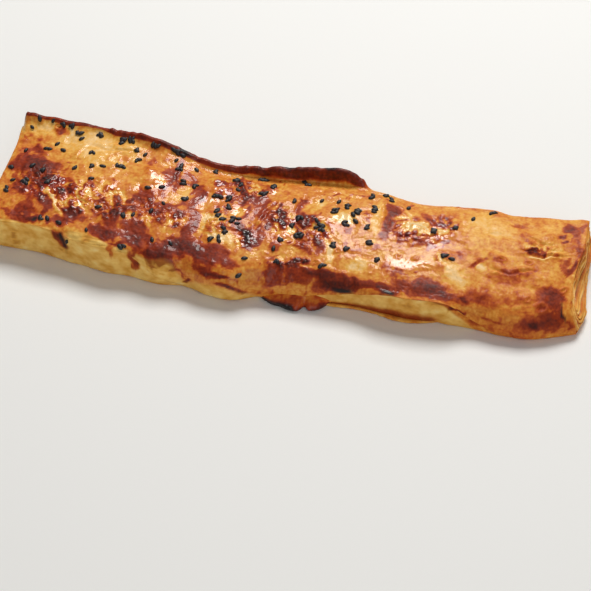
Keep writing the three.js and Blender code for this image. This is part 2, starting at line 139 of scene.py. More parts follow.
# swellings of the filling under the top sheet: x, across, half length, half width, height
SWELLINGS = [
    (-112, 4.55, 9, 0.18, 1.1), (-88, 4.78, 12, 0.16, 1.6), (-100, 4.22, 8, 0.13, 1.0),
    (-82, 4.3, 10, 0.12, 0.9), (-59, 4.7, 9, 0.15, 1.7), (-63, 4.22, 9, 0.14, 1.2),
    (-42, 4.33, 9, 0.14, 1.3), (-31, 4.76, 8, 0.14, 1.5), (-23, 4.35, 7, 0.12, 1.4),
    (-10, 4.85, 7, 0.1, 0.9), (0, 4.66, 8, 0.16, 1.6), (14, 4.5, 9, 0.15, 1.6),
    (28, 4.6, 6, 0.12, 1.2), (44, 4.75, 4, 0.12, 0.9), (56, 4.6, 11, 0.17, 2.0),
    (71, 4.65, 5, 0.12, 0.9), (90, 4.35, 10, 0.14, 0.9), (105, 4.7, 9, 0.14, 0.7),
    (24, 3.9, 15, 0.35, 0.9), (58, 3.85, 14, 0.35, 1.1), (-30, 3.6, 16, 0.4, 0.8),
]

# On the skin, marks are placed at (x, up): millimetres along the roll, and millimetres up the front
# and over the top from the front shoulder. This pairs "across" with "up".
UP_KNOTS = ((0, 1, 2, 3, 4, 5, 6, 7), (-90, -34, -19, -18, 0, 50, 64, 82))

# darker (+) and lighter (-) places of the bake; some lighter ones are painted highlights where the glaze
# shines: x, up, half length, half width, turn, strength
BAKE_MARKS_AND_PAINTED_HIGHLIGHTS = [
    # whole regions
    (-106, 22, 15, 12, -10, 0.22), (-84, 10, 22, 12, -10, 0.22), (-60, 12, 15, 13, 0, 0.2),
    (-36, 24, 24, 24, 0, 0.17), (-7, 22, 12, 18, 0, 0.16), (14, 20, 14, 14, 0, 0.16),
    (-40, -4, 24, 8, 0, 0.17), (10, -4, 18, 5, 0, 0.08), (64, 32, 14, 14, 0, 0.12),
    (48, 26, 8, 14, 0, 0.1), (112, -6, 13, 13, 0, 0.06), (119.5, 26, 5, 20, 0, 0.1),
    (100, 10, 22, 26, 0, 0.03), (-88, 43, 28, 10, 0, -0.07), (80, 36, 15, 12, 0, -0.08),
    (-106, -4, 8, 12, -10, 0.16), (-86, 0, 9, 7, 0, 0.12), (-70, -2, 8, 7, 0, 0.1),
    (84, 2, 7, 6, 0, -0.05), (-57, 41, 9, 8, 0, 0.1), (-20, 39, 9, 10, 0, 0.12),
    (32, 8, 9, 6, 0, 0.1), (50, 27, 8, 8, 0, 0.05),
    # left end
    # the lighter oval at (-88, 34) is a painted highlight
    (-112, 50, 12, 5, 0, -0.14), (-93, 46, 14, 8, -10, -0.12), (-88, 34, 8, 5, 0, -0.08),
    (-106, 48.5, 2.8, 2.5, 0, 0.5), (-116, 40, 7, 5, 0, 0.2), (-112, 34, 8, 5, -20, 0.22),
    (-115, 27, 9, 5, 0, 0.28), (-106, 25, 6, 8, -30, 0.38), (-101, 19, 4, 5, 0, 0.3),
    (-111, 18, 5, 4, 0, 0.2), (-119, 20.5, 3, 2.5, 0, -0.2), (-114, 12, 6, 5, -40, 0.2),
    (-107, 12, 5, 6, -45, 0.16), (-101, 8, 8, 3.4, -45, 0.4), (-93.5, 6.5, 9.5, 1.6, -62, -0.45),
    (-95, 20, 3, 5, -50, 0.26), (-91.5, 14, 3.5, 4.5, -50, 0.34), (-80, 19.5, 7.5, 1.7, -52, 0.32),
    (-76, 15, 6, 3, -50, -0.1), (-70, 17, 7, 1.5, -50, 0.22), (-66, 10, 7, 2, -60, 0.14),
    (-62, 21, 3, 6, -30, 0.2), (-73.5, 28, 2, 1.7, 0, 0.2), (-84.5, 4.5, 5, 4.5, 0, 0.34),
    (-88, -1, 7, 5, 0, 0.14), (-108, -3, 5, 6, 0, 0.16), (-104, -11, 3.2, 7, 0, 0.24),
    (-99.5, -8.5, 2.3, 6, 0, 0.46), (-94, -6.5, 1, 6, 10, 0.4), (-97.5, -1, 1.4, 4, 0, 0.3),
    (-112.5, -8, 2.6, 9, 0, -0.1), (-89, -5, 1.6, 3.4, 0, 0.3), (-81, -6, 3, 5, 0, -0.14),
    (-76, -9, 3, 4, 0, -0.12), (-67.5, -3, 4.5, 6.5, -20, 0.34), (-74, -1, 4, 5, 0, 0.16),
    (-65, -12, 1.7, 6, -10, 0.24), (-61, -10, 1.6, 6, -20, 0.3), (-88, -22, 3, 3, 0, 0.2),
    (-109, -27, 6, 3, 0, 0.16),
    # middle
    (-50.3, 45, 1.6, 7, 8, 0.3),
    # the lighter ovals at (-54, 33), (-34, 43), (-31, 27) and (-18, 26) are painted highlights
    (-50, 36, 1.5, 6, -5, 0.26), (-41, 43, 5, 6, 0, 0.1), (-54, 33, 5, 3, 0, -0.1),
    (-52.5, 29.5, 1.7, 1.6, 0, 0.4), (-43.5, 30, 2.6, 6, -20, -0.32), (-38, 35, 2.6, 5, 0, 0.18),
    (-35, 31, 2, 3.2, 0, 0.3), (-37.5, 25, 2.2, 5, 0, 0.16), (-34, 43, 4, 6, 0, -0.1),
    (-30.5, 39.5, 1.9, 3, 20, 0.45), (-24, 45, 3.5, 7, -25, 0.26), (-18.8, 45, 1.3, 6, -10, 0.36),
    (-15.5, 35, 1.6, 6, -15, 0.3), (-22, 35, 3, 6, -20, 0.2), (-10, 42, 2.6, 5, 0, 0.12),
    (-5, 42, 3, 6, 0, -0.14), (-11, 34, 4, 4, 0, 0.14), (-31, 27, 2.4, 4, 0, -0.12),
    (-28, 17, 3.6, 7.5, -10, -0.4), (-24, 11, 3, 3, 0, -0.26), (-19, 9, 4.5, 4, -20, -0.32),
    (-18, 26, 3, 4, 0, -0.22), (-34, 15, 3.2, 7, 0, 0.2), (-36, 8, 5, 4, 0, 0.16),
    (-42, 17.5, 3.2, 3.6, -20, 0.42), (-40.5, 11.5, 1.4, 2.2, 0, 0.45), (-47, 20, 4, 3, 0, 0.2),
    (-52, 16, 5, 4, 0, 0.12), (-57, 19, 5, 6, 0, 0.2), (-12, 14, 9, 3.2, -55, 0.34),
    (-8, 8, 5.5, 1.6, -60, 0.3), (-6, 22, 2.6, 10, 0, 0.14), (-48, 9, 6.5, 2.6, -10, -0.14),
    (-30, 8, 6, 3, -5, -0.06), (-8, 2, 5, 4, 0, -0.12), (-56, -2, 6.5, 5.5, -20, 0.3),
    (-46, -5, 6.5, 3, 10, 0.32), (-28, -0.5, 19, 5, 0, 0.34), (-28.5, 1, 2, 2, 0, 0.18),
    (-31, -4.4, 4.5, 1.3, -15, -0.2), (-51, -3.5, 1.4, 4, 0, -0.35), (-60, -4, 2, 4, 0, -0.22),
    (-20, -7.6, 7.5, 1, 0, 0.42), (-13, -12.5, 7.5, 1.2, -20, 0.42), (-32, -14, 3.2, 0.9, 30, 0.5),
    (-38, 2, 4, 3, 0, 0.14), (-54, 5, 7, 4, 0, 0.18),
    # right of the middle
    (-1, 24, 1.7, 7.5, 10, 0.48), (2, 18, 1.3, 5, 15, 0.4), (-3.2, 17, 1.1, 4, 15, 0.36),
    # the lighter ovals at (4.5, 14), (12, 31) and (24, 27) are painted highlights
    (4.5, 14, 1.6, 5, 0, -0.22), (7, 33, 2, 8.5, 0, 0.22), (12, 31, 2.6, 6, -10, -0.22),
    (24, 27, 6.5, 3.6, 0, -0.3), (11, 22, 5.5, 2.6, 0, 0.28), (6, 19, 3, 3, 0, 0.26),
    (14, 17, 6.5, 3.4, -20, 0.24), (17, 12, 3.4, 2.6, -40, 0.36), (20.3, 8, 2, 4, 0, 0.2),
    (9, 11, 6, 3, 0, 0.16), (23.5, 8, 1.3, 6.5, 10, -0.45), (33, 14, 4, 10, 0, 0.04),
    (39, 30, 2, 13, 5, -0.16), (37, 0.5, 5, 5, -15, -0.26), (31, 5, 3, 3, 0, -0.05),
    (44, 40, 3.2, 4.6, 0, 0.36), (44, 32, 3, 9, 0, 0.26), (44, 24, 2.2, 5, 0, 0.2),
    # the lighter ovals at (50, 34) and (56, 33) are painted highlights
    (19.5, 41.5, 1.7, 1.8, 0, 0.3), (50, 34, 3.2, 7, -15, -0.2), (56, 33, 6, 5, 0, -0.22),
    (53, 27, 5.5, 1.2, 15, 0.26), (58, 24, 7, 1, 8, 0.16), (47, 5, 2.3, 3.2, 0, 0.22),
    (54, 3.5, 7, 3, 0, 0.16), (11, -1, 8.5, 1.2, 0, 0.46), (9, -7, 13, 5.5, 0, 0.28),
    (22, -5, 5, 3, 0, 0.26), (29, -8, 9, 6.5, 0, 0.4), (30, -13, 10, 4.5, 0, 0.3),
    (43, -9.5, 8, 4.6, 0, 0.34), (57, -5, 7, 6.5, 0, 0.22), (50, -12, 7, 5, 0, 0.16),
    # right end
    (62, 36, 1.5, 6, 10, 0.34), (65.5, 42, 2.6, 1.3, 0, 0.34), (67.6, 40.3, 1.3, 2.2, 0, 0.3),
    (70, 34, 1.7, 5.5, -10, 0.34), (66, 22, 3.2, 2.2, -20, 0.22), (70, 25, 1.7, 1.5, 0, 0.34),
    (77, 18, 2.3, 4.2, 0, 0.18), (84, 13, 6, 1.7, 50, 0.22), (83, 16.5, 2, 2, 0, 0.12),
    (91.4, 16, 1.9, 1.4, 0, 0.3), (85.6, 10, 1.9, 2.2, 0, -0.3), (76.5, 5.5, 9, 3.2, -52, -0.26),
    (98, 11.5, 6.5, 1.4, 0, 0.2), (104.6, 13.5, 2.6, 1.2, 40, 0.2), (97, 6, 9, 6, 0, 0.1),
    (104, 25.3, 5, 1.6, -8, 0.28), (108, 26.6, 3, 2, 0, 0.16), (110, 21.8, 7.5, 0.9, -3, -0.34),
    (98, 35, 2.8, 1, -50, 0.22), (100.5, 32, 1.3, 1.6, 0, 0.22), (98, 45.5, 1.1, 1.5, 0, 0.2),
    (94, 43, 3.2, 1.3, 10, 0.16), (116, 43.5, 3.8, 3.4, 0, 0.38), (113, 38, 1.7, 2.1, 0, 0.3),
    (114.7, 34, 1.5, 1.5, 0, 0.38), (119.6, 27, 2.4, 12, 0, 0.1), (120.8, 13, 1.5, 4.5, 0, 0.3),
    (116, 1, 5, 4.5, -30, 0.26), (117.5, -5, 3.4, 5.5, 0, 0.32), (112, -2, 5, 6, 0, 0.14),
    (111, -11, 4.5, 5, 0, 0.2), (116, -13, 6, 4, 0, 0.22), (110.8, -13.5, 0.9, 2.8, 30, 0.35),
    (82.5, -8, 2.8, 2.6, 0, 0.4), (89, -5, 8, 2.6, -5, 0.2), (71, -5, 11, 5, -28, 0.22),
    (66, -4, 6, 5.5, 0, 0.2), (70, -11, 12, 5, 0, 0.24), (100, -15, 14, 4, 0, 0.1),
    (80.5, -20, 6.8, 1.2, 58, 0.5), (87, -21, 5, 1.4, 62, 0.24), (70, -21.5, 14, 1.6, -3, 0.2),
]
BASE_BAKE = 0.32            # the bake of plain crust, from 0 for pale dough to 1 for black
LIP_BAKE = 0.74             # of the rim of the standing lip
UNDER_HEM_BAKE = 0.68       # of the strip right under the hem
BACK_BAKE = 0.2             # of the back wall low down
BACK_BROWNS = 0.2           # and by this more at its upper edge
BACK_BROWNS_AT_LIP = 0.22   # and by this again where the lip stands
SPOT_STRENGTH = 0.24        # how much darker a browned spot is than what lies round it
FULLY_BAKED = 0.66          # above this, further browning counts for less and less
DARKEST_CRUST = 0.9         # and ends here; only the burns are darker

# nearly black burns: x, up, half length, half width, turn
BURNS = [
    (-84.8, -20, 1.9, 6.5, 0), (-12.3, 13, 6, 1.5, -58), (50, -14.5, 3.4, 3.4, 0), (33, -16, 3.6, 3, 0),
    (118.9, -9.5, 1, 3.4, 0), (-99.5, -9, 1.2, 4, 0), (13, 58, 4, 2, 0), (-4, 58, 3, 1.6, 0),
    (-52, 58, 6, 1.6, 0),
]

# brown drips of egg wash down the pale band: x, lowest point, half width
DRIPS = [(-86.2, -26, 4.0), (-64.6, -24, 1.6), (-53.5, -28, 1.7)]

# the loose flake at the front foot: how far it sticks out along the roll
flake_reach = along((-2, -1.5), (0.5, 0.8), (4, 3.2), (7.5, 4.3), (11.5, 5.8), (15, 6.2), (16.3, 5.4),
                    (17.6, 3.2), (19.5, 4.3), (22, 4.5), (24.5, 3), (26.5, 0.4), (28, -1.4))
FLAKE_SPAN = (-2.0, 28.0)
FLAKE_BLISTER = (19.5, 2.6)     # x and height of its largest blister

# the thin sheet that shows under the pale wall at the right: how far it sticks out
under_reach = along((18, -2.6), (24, 0.2), (36, 0.8), (46, 0.9), (56, 1.7), (64, 1.2), (70, -0.2),
                    (76, -2.6))
UNDER_SPAN = (18.0, 76.0)

# the edges of the rolled sheets on an end face
LAYER_PITCH = 1.15          # from one sheet to the next
LAYER_THICKNESS = 0.75
LAYER_DEPTH = 5.0           # how far each sheet runs into the pastry
END_CURL = 0.9              # the outer sheet curls in by this at its edge
END_HOLLOW = 3.0            # and behind it the end face lies this deep
END_SWELL = 0.7             # the middle of an end face bulges out by this

# places where the skin is crackled into many small wrinkles: x, up, half length, half width, turn
CRACKLED = [
    (-104, 17, 12, 11, -20), (-88, 15, 13, 10, -10), (-72, 16, 11, 9, 0), (-46, 14, 9, 6, 0),
    (-20, 42, 11, 8, 0), (-57, 15, 8, 7, 0), (0, 21, 5, 9, 15), (-12, 12, 6, 4, -55), (14, 15, 10, 9, 0),
    (54, 32, 10, 9, 0), (64, 34, 6, 10, 0), (70, 15, 5, 4, 0), (10, -1, 10, 3, 0), (-26, 16, 6, 8, 0),
    (107, 27, 8, 5, -10),
]

# places under a thick, shining glaze: x, up, half length, half width, turn
GLAZED = [
    (-96, 19, 6, 10, -40), (-84, 13, 7, 6, 0), (-73, 23, 5, 4, 0), (-61, 33, 4, 8, 0),
    (-88, 35, 4, 3, 0), (-31, 35, 7, 14, 0), (-44, 15, 4, 3, 0), (-18, 26, 4, 5, 0), (-5, 40, 4, 8, 0),
    (3, 15, 4, 8, 0), (12, 30, 4, 7, 0), (24, 27, 8, 4, 0), (18, 18, 6, 6, 0), (53, 31, 9, 9, 0),
    (65, 30, 5, 11, 0), (56, 9, 9, 3.2, 0), (-12, 12, 6, 4, -55),
    (-105, 12, 6, 6, -45), (-55, 31, 5, 4, 0),
]

# places without shine: x, up, half length, half width, turn
DULL = [
    (34, -9, 20, 8, 0), (62, -4, 20, 9, -8), (115, 0, 9, 14, 0), (44, 34, 3.5, 12, 0),
    (-106, 27, 8, 8, 0),
]

# popped blisters that left a ring: x, up, radius
RINGS = [
    (-31, 41, 1.9), (52, 12.5, 1.4), (59, 13.5, 1.2), (92.5, 17.5, 1.9), (119.5, 0, 1.6),
    (111.5, -6, 2.4), (106, -3, 1.4), (64.5, 43, 1.5), (68, 42.5, 1.3), (60.5, 42, 1.2),
    (-108, 51.5, 1.7), (20, 0, 1.2), (27, 7.5, 1.3), (103.5, 18, 1.5), (-80, 25, 1.4),
]

# creases of the top sheet: from x, up to x, up, depth
CREASES = [
    ((82, 9), (86, 17), 0.6), ((88, 12), (97, 10), 0.6), ((97, 10), (105, 15), 0.7),
    ((99, 25), (108, 27.5), 1.0), ((104, 23.5), (117, 21.5), 0.9), ((100, 35), (110, 31), 0.6),
    ((-64, 30), (-52, 21), 0.4), ((-50, 47), (-46, 30), 0.5), ((39, 46), (41, 24), 0.6),
    ((8, 45), (5, 20), 0.4), ((-5, 35), (-8, 14), 0.7), ((-94, 35), (-91, 43), 0.5),
    ((-91, 43), (-70, 46), 0.5), ((-99, 20), (-90, 3), 0.9), ((47, 24), (66, 28), 0.4),
]

# seeds: x, across, how many, spread along, spread across
SEED_GROUPS = [
    # along the back lip
    (-115.5, 5.35, 1, 0.8, 0.02), (-110.5, 5.32, 1, 0.6, 0.02), (-106, 5.24, 2, 1, 0.03),
    (-102.3, 5.28, 2, 1, 0.03), (-97.8, 5.02, 3, 1.4, 0.01), (-95.8, 4.94, 1, 0.5, 0.01),
    (-87.3, 5.13, 5, 2.8, 0.02), (-78.3, 4.99, 2, 0.8, 0.01), (-76, 5.17, 7, 3.4, 0.05),
    (-62.8, 5.21, 3, 1.6, 0.02), (-53.4, 5.28, 6, 3.2, 0.06), (-52.2, 4.98, 1, 0.4, 0.01),
    (-48.9, 4.94, 4, 0.9, 0.06), (-42.8, 4.96, 1, 0.4, 0.01), (-35, 5.12, 3, 0.8, 0.1),
    (-24.6, 4.94, 4, 1.2, 0.04), (-14, 5.03, 4, 1.2, 0.03), (3.3, 5.08, 2, 0.4, 0.05),
    (5.2, 4.95, 2, 0.6, 0.03), (33.8, 4.93, 2, 0.3, 0.03), (38.8, 5.02, 3, 0.4, 0.08),
    (41.3, 4.96, 2, 0.5, 0.02), (49.5, 4.9, 1, 0.4, 0.02), (84.3, 4.98, 3, 1.2, 0.01),
    # left end
    (-118.2, 4.99, 1, 0.3, 0.01), (-117.8, 4.7, 1, 0.3, 0.01), (-105.3, 4.84, 1, 0.4, 0.01),
    (-108.6, 4.76, 2, 0.6, 0.01), (-101.5, 4.78, 2, 0.6, 0.01), (-88.2, 4.8, 2, 0.5, 0.02),
    (-120, 4.48, 2, 0.7, 0.02), (-116.9, 4.34, 1, 0.3, 0.01), (-111.3, 4.34, 4, 1.2, 0.03),
    (-101, 4.37, 3, 0.6, 0.02), (-117.5, 4.22, 3, 1.1, 0.04), (-110.5, 4.52, 1, 0.4, 0.01),
    (-105.5, 4.49, 2, 0.6, 0.01), (-92.8, 4.58, 2, 0.8, 0.01), (-85.7, 4.63, 2, 0.4, 0.02),
    (-81, 4.67, 2, 0.6, 0.01), (-83.6, 4.5, 2, 0.7, 0.01), (-74.6, 4.735, 4, 2, 0.01),
    (-70.3, 4.96, 2, 0.3, 0.02), (-65.8, 4.94, 1, 0.4, 0.01), (-67.9, 4.855, 2, 0.5, 0.02),
    (-74.8, 4.22, 1, 0.4, 0.01), (-63.6, 4.19, 2, 0.5, 0.01), (-76.1, 3.81, 1, 0.3, 0.02),
    (-89, 3.74, 1, 0.3, 0.02), (-96, 3.66, 4, 2.4, 0.12), (-84.5, 1.8, 1, 0.5, 0.05),
    (-60, 3.35, 3, 1.2, 0.07),
    # middle
    (-22.2, 4.82, 4, 0.6, 0.06), (-8, 4.88, 5, 0.5, 0.05), (-11, 4.775, 4, 2.2, 0.01),
    (-46, 4.745, 3, 1, 0.02), (-40, 4.735, 3, 0.8, 0.03), (-42, 4.6, 4, 1.1, 0.06),
    (-57.8, 4.55, 1, 0.4, 0.01), (-52.6, 4.585, 1, 0.4, 0.01), (-29.7, 4.65, 4, 1.8, 0.01),
    (-24.2, 4.65, 3, 0.6, 0.03), (-22.8, 4.55, 3, 0.5, 0.03), (-26.2, 4.45, 5, 0.8, 0.04),
    (-23.3, 4.375, 3, 0.9, 0.01), (-17.2, 4.4, 5, 1.8, 0.03), (-20.2, 4.265, 4, 1.5, 0.03),
    (-21.7, 4.17, 2, 0.7, 0.02), (-25.4, 4.15, 2, 0.6, 0.01), (-49.3, 4.43, 1, 0.4, 0.01),
    (-59.7, 4.22, 1, 0.4, 0.01), (-52.6, 4.3, 1, 0.4, 0.01), (-48.4, 4.04, 1, 0.4, 0.01),
    (-40.1, 4.04, 1, 0.4, 0.01), (-8.4, 4.01, 1, 0.4, 0.01), (-9.3, 3.62, 1, 0.4, 0.02),
    # right of the middle
    (3, 4.67, 2, 0.3, 0.02), (13.4, 4.74, 1, 0.4, 0.01), (20.8, 4.755, 1, 0.4, 0.01),
    (20.6, 4.62, 4, 1.3, 0.03), (25.2, 4.68, 4, 0.6, 0.05), (29.7, 4.635, 5, 1.1, 0.05),
    (31, 4.525, 1, 0.4, 0.01), (36.3, 4.745, 5, 1, 0.04), (35.6, 4.49, 3, 0.7, 0.02),
    (27, 4.475, 3, 0.8, 0.02), (7.8, 4.455, 3, 0.8, 0.015), (5.3, 4.375, 2, 0.4, 0.02),
    (17.2, 4.38, 7, 2.2, 0.05), (10, 4.26, 5, 1.9, 0.02), (25.1, 4.22, 4, 0.6, 0.04),
    (29.9, 4.19, 2, 0.7, 0.01), (39.3, 4.315, 2, 1, 0.01), (43.7, 4.155, 2, 0.4, 0.02),
    (2.8, 4.185, 3, 0.9, 0.01), (1.2, 4.08, 2, 0.4, 0.01), (4.1, 3.88, 2, 0.5, 0.03),
    (22.8, 3.93, 2, 0.6, 0.03),
    # right end
    (63.1, 4.62, 4, 0.8, 0.02), (71.2, 4.65, 2, 0.3, 0.03), (76.9, 4.85, 1, 0.3, 0.01),
    (70.1, 4.315, 4, 1, 0.015), (73.2, 4.28, 1, 0.3, 0.01),
]
SEED_DRAW = 7               # starts the draws that spread the seeds
SEED_VARIES = 0.15          # share by which seeds differ in size
SEED_LIES_UP = 0.15         # height of a seed's middle above the crust


# ---- noise ------------------------------------------------------------------------------------
def lattice(ix, iy, iz, seed):
    """A fixed draw between 0 and 1 for each corner of an integer lattice."""
    mixed = (ix * 0x8DA6B343 ^ iy * 0xD8163841 ^ iz * 0xCB1AB31F ^ seed * 0x9E3779B1) & 0xFFFFFFFF
    mixed = ((mixed ^ (mixed >> 15)) * 0x2C1B3C6D) & 0xFFFFFFFF
    mixed = ((mixed ^ (mixed >> 12)) * 0x297A2D39) & 0xFFFFFFFF
    return ((mixed ^ (mixed >> 15)) & 0xFFFFFFFF) / 0xFFFFFFFF


def noise(points, size, seed=0):
    """Smooth noise between -1 and 1 whose features are about `size` millimetres wide."""
    scaled = points / size
    base = np.floor(scaled).astype(np.int64)
    part = scaled - base
    fade = part ** 3 * (part * (part * 6 - 15) + 10)
    total = np.zeros(len(points))
    for corner in range(8):
        step = np.array([corner & 1, corner >> 1 & 1, corner >> 2 & 1])
        share = np.prod(np.where(step, fade, 1 - fade), axis=1)
        cell = base + step
        total += share * lattice(cell[:, 0], cell[:, 1], cell[:, 2], seed)
    return total * 2 - 1


def layered_noise(points, size, layers=3, seed=0):
    """Noise of several sizes, each half as wide and half as strong as the last."""
    total = np.zeros(len(points))
    for i in range(layers):
        total += noise(points + 17.3 * i, size / 2 ** i, seed + i) / 2 ** i
    return total / (2 - 2 ** (1 - layers))


def ridges(points, size, layers=3, seed=0):
    """Thin creases between rounded swells, 0 in the creases and up to 1 on the swells."""
    total = np.zeros(len(points))
    for i in range(layers):
        total += np.abs(noise(points + 9.1 * i, size / 2 ** i, seed + i)) ** 0.8 / 2 ** i
    return total / (2 - 2 ** (1 - layers))


def cells(points, size, seed=0):
    """Distance in millimetres to the nearest scattered centre, and that centre's own draw."""
    scaled = points / size
    base = np.floor(scaled).astype(np.int64)
    nearest = np.full(len(points), 9.0)
    draw = np.zeros(len(points))
    for n in range(27):
        cell = base + np.array([n % 3 - 1, n // 3 % 3 - 1, n // 9 - 1])
        place = [lattice(cell[:, 0], cell[:, 1], cell[:, 2], seed + k) for k in range(3)]
        gap = np.linalg.norm(cell + np.stack(place, 1) - scaled, axis=1)
        own = lattice(cell[:, 0], cell[:, 1], cell[:, 2], seed + 3)
        draw = np.where(gap < nearest, own, draw)
        nearest = np.minimum(gap, nearest)
    return nearest * size, draw


def step(low, high, value):
    """0 before low, 1 after high, smooth between; low may be the larger."""
    t = np.clip((value - low) / (high - low), 0, 1)
    return t * t * (3 - 2 * t)


# ---- the outline ------------------------------------------------------------------------------
def wholeness(x):
    """How far from the ends the lip and the hem have come to their full size, 0 to 1."""
    return step(TOP_LEFT, TOP_LEFT + 2.5, x) * step(TOP_RIGHT, TOP_RIGHT - 4, x)


def swelling(x, across):
    """Height added by the filling under the top sheet."""
    total = 0
    for cx, ca, rx, ra, height in SWELLINGS:
        total = total + height * np.exp(-1.6 * (((x - cx) / rx) ** 2 + ((across - ca) / ra) ** 2))
    return total


def patch(x, up, mark):
    """1 inside a turned oval (x, up, half length, half width, turn), fading to 0 round its edge."""
    cx, cu, length, width, turn = mark
    c, s = math.cos(math.radians(turn)), math.sin(math.radians(turn))
    u, v = x - cx, up - cu
    return step(1.35, 0.35, np.hypot((u * c + v * s) / length, (v * c - u * s) / width))


def patches(x, up, marks):
    """The strongest of several ovals."""
    most = np.zeros_like(x)
    for mark in marks:
        most = np.maximum(most, patch(x, up, mark))
    return most


def foot_curve(z):
    """How far a wall curves in at height z above the underside."""
    k = 1 - np.minimum(z / FOOT_RADIUS, 1)
    return FOOT_RADIUS * (1 - np.sqrt(1 - k * k))


def bank(x, t):
    """How far the top has risen towards the lip, t of the way from its front to its back."""
    return lip_bank(x) * np.clip((t - BANK_FROM) / (1 - BANK_FROM), 0, 1) ** 2


def lip_outline(back, z, rise, height, t):
    """The standing lip: up its inner face, over the rim and down its outer face."""
    inner = back - LIP_THICKNESS
    stops = [0, 0.16, 0.32, 0.46, 0.54, 0.62, 0.76, 0.88, 1]
    ys = [back - BACK_RADIUS, inner - 0.3, inner + 0.3 * LIP_LEAN, inner + LIP_LEAN,
          back + LIP_LEAN - 0.3, back + LIP_LEAN, back + 0.3 * LIP_LEAN, back, back]
    zs = [z + rise, z + 0.1 + rise * 1.2, z + 0.55 * height + 0.6 * rise, z + height * 0.96, z + height,
          z + height * 0.86, z + height * 0.4, z - 0.5, z - BACK_RADIUS]
    y = np.zeros_like(t)
    up = np.zeros_like(t)
    for i in range(len(stops) - 1):
        here = (t >= stops[i]) & (t <= stops[i + 1])
        share = (t - stops[i]) / (stops[i + 1] - stops[i])
        y = np.where(here, ys[i] + (ys[i + 1] - ys[i]) * share, y)
        up = np.where(here, zs[i] + (zs[i + 1] - zs[i]) * share, up)
    return y, up


def outline(x, across):
    """y and z of the smooth outline at arrays of x and across."""
    zone = np.minimum(np.floor(across).astype(int), 6)
    t = across - zone
    whole = wholeness(x)
    front, back = front_edge(x), back_edge(x)
    z_front, z_back = front_height(x), back_height(x)
    hem = 0.15 + (hem_thickness(x) - 0.15) * whole
    inset = recess(x) * whole
    z_hem = np.minimum(hem_height(x), z_front - 1)
    wall = front + hem
    wide, high = shoulder_width(x), shoulder_height(x)
    lift = swelling(x, across)
    top_end = back - BACK_RADIUS

    below = (back - FOOT_RADIUS + (wall + FOOT_RADIUS - back + FOOT_RADIUS) * t, 0 * x)
    foot = (wall + foot_curve(z_hem * t) + inset * t ** 1.5, z_hem * t)
    edge = (wall + inset - (hem + inset) * t, z_hem - 0.3 * (1 - t))

    base = z_front - high
    start = np.arcsin(np.clip((np.maximum(base, z_hem) - base) / high, 0, 1))
    straight = np.maximum(base - z_hem, 0)
    arc = (np.pi / 2 - start) * np.hypot(wide, high) * math.sqrt(0.5)
    run = t * (straight + arc)
    angle = start + (np.pi / 2 - start) * np.maximum(run - straight, 0) / arc
    turn = t * np.pi / 2
    face = (
        front + wide * (1 - np.cos(angle)) - wide * (1 - np.cos(start)) * (1 - t) - lift * np.cos(turn),
        np.where(run < straight, z_hem + run, base + high * np.sin(angle)) + lift * np.sin(turn),
    )

    bow = crown(x) * np.clip(1 - (2 * t - 1) ** 2, 0, 1) ** 0.8
    top = (front + wide + (top_end - front - wide) * t,
           z_front + (z_back - z_front) * t + bow + lift + bank(x, t) * whole)

    height = lip_height(x) * whole
    share = step(0, 2.5, height)
    standing = lip_outline(back, z_back, lip_bank(x) * whole, height, t)
    rounded = (top_end + BACK_RADIUS * np.sin(turn), z_back - BACK_RADIUS * (1 - np.cos(turn)))
    fade = lift * (1 - step(0, 0.2, t))
    lip = (
        rounded[0] + (standing[0] - rounded[0]) * share,
        rounded[1] + (standing[1] - rounded[1]) * share + fade,
    )

    z = (z_back - BACK_RADIUS) * (1 - t)
    wall_back = (back - foot_curve(z) + BACK_BULGE * np.sin(np.pi * z / (z_back - BACK_RADIUS)), z)

    zones = [below, foot, edge, face, top, lip, wall_back]
    picks = [zone == i for i in range(7)]
    return np.select(picks, [a[0] for a in zones]), np.select(picks, [a[1] for a in zones])


def end_reach(y, z, tall, outward):
    """How far the sheet at y and z of an end reaches past TOP_LEFT or TOP_RIGHT."""
    low = step(LOW_SHEETS_TO, LOW_SHEETS_FULL, z / tall)
    top_sheet, lower = (right_top, right_low) if outward > 0 else (left_top, left_low)
    return top_sheet(y) * (1 - low) + lower(y) * low


def skin(x, across):
    """Points of the smooth skin, in millimetres. The lower sheets reach past the top sheet."""
    x = np.asarray(x, float)
    across = np.asarray(across, float)
    y, z = outline(x, across)
    tall = back_height(x)
    to_right = step(TOP_RIGHT - 16, TOP_RIGHT, x) * end_reach(y, z, tall, 1)
    to_left = step(TOP_LEFT + 16, TOP_LEFT, x) * end_reach(y, z, tall, -1)
    return np.stack([x + to_right - to_left + LENGTHWAYS, y + SIDEWAYS, z], axis=-1)


# ---- meshes -----------------------------------------------------------------------------------
def grid_faces(rows, columns, closed=True):
    """Quads of a grid of points, row after row; closed joins the last column to the first."""
    i = np.arange(rows - 1)[:, None] * columns
    j = np.arange(columns if closed else columns - 1)[None, :]
    k = (j + 1) % columns
    return np.stack([i + j, i + columns + j, i + columns + k, i + k], axis=-1).reshape(-1, 4)


def normals(points, quads):
    """Unit normals at the points of a quad mesh."""
    a, b, c, d = (points[quads[:, k]] for k in range(4))
    face = np.cross(c - a, d - b)
    total = np.zeros_like(points)
    for k in range(4):
        np.add.at(total, quads[:, k], face)
    return total / np.maximum(np.linalg.norm(total, axis=1, keepdims=True), 1e-9)


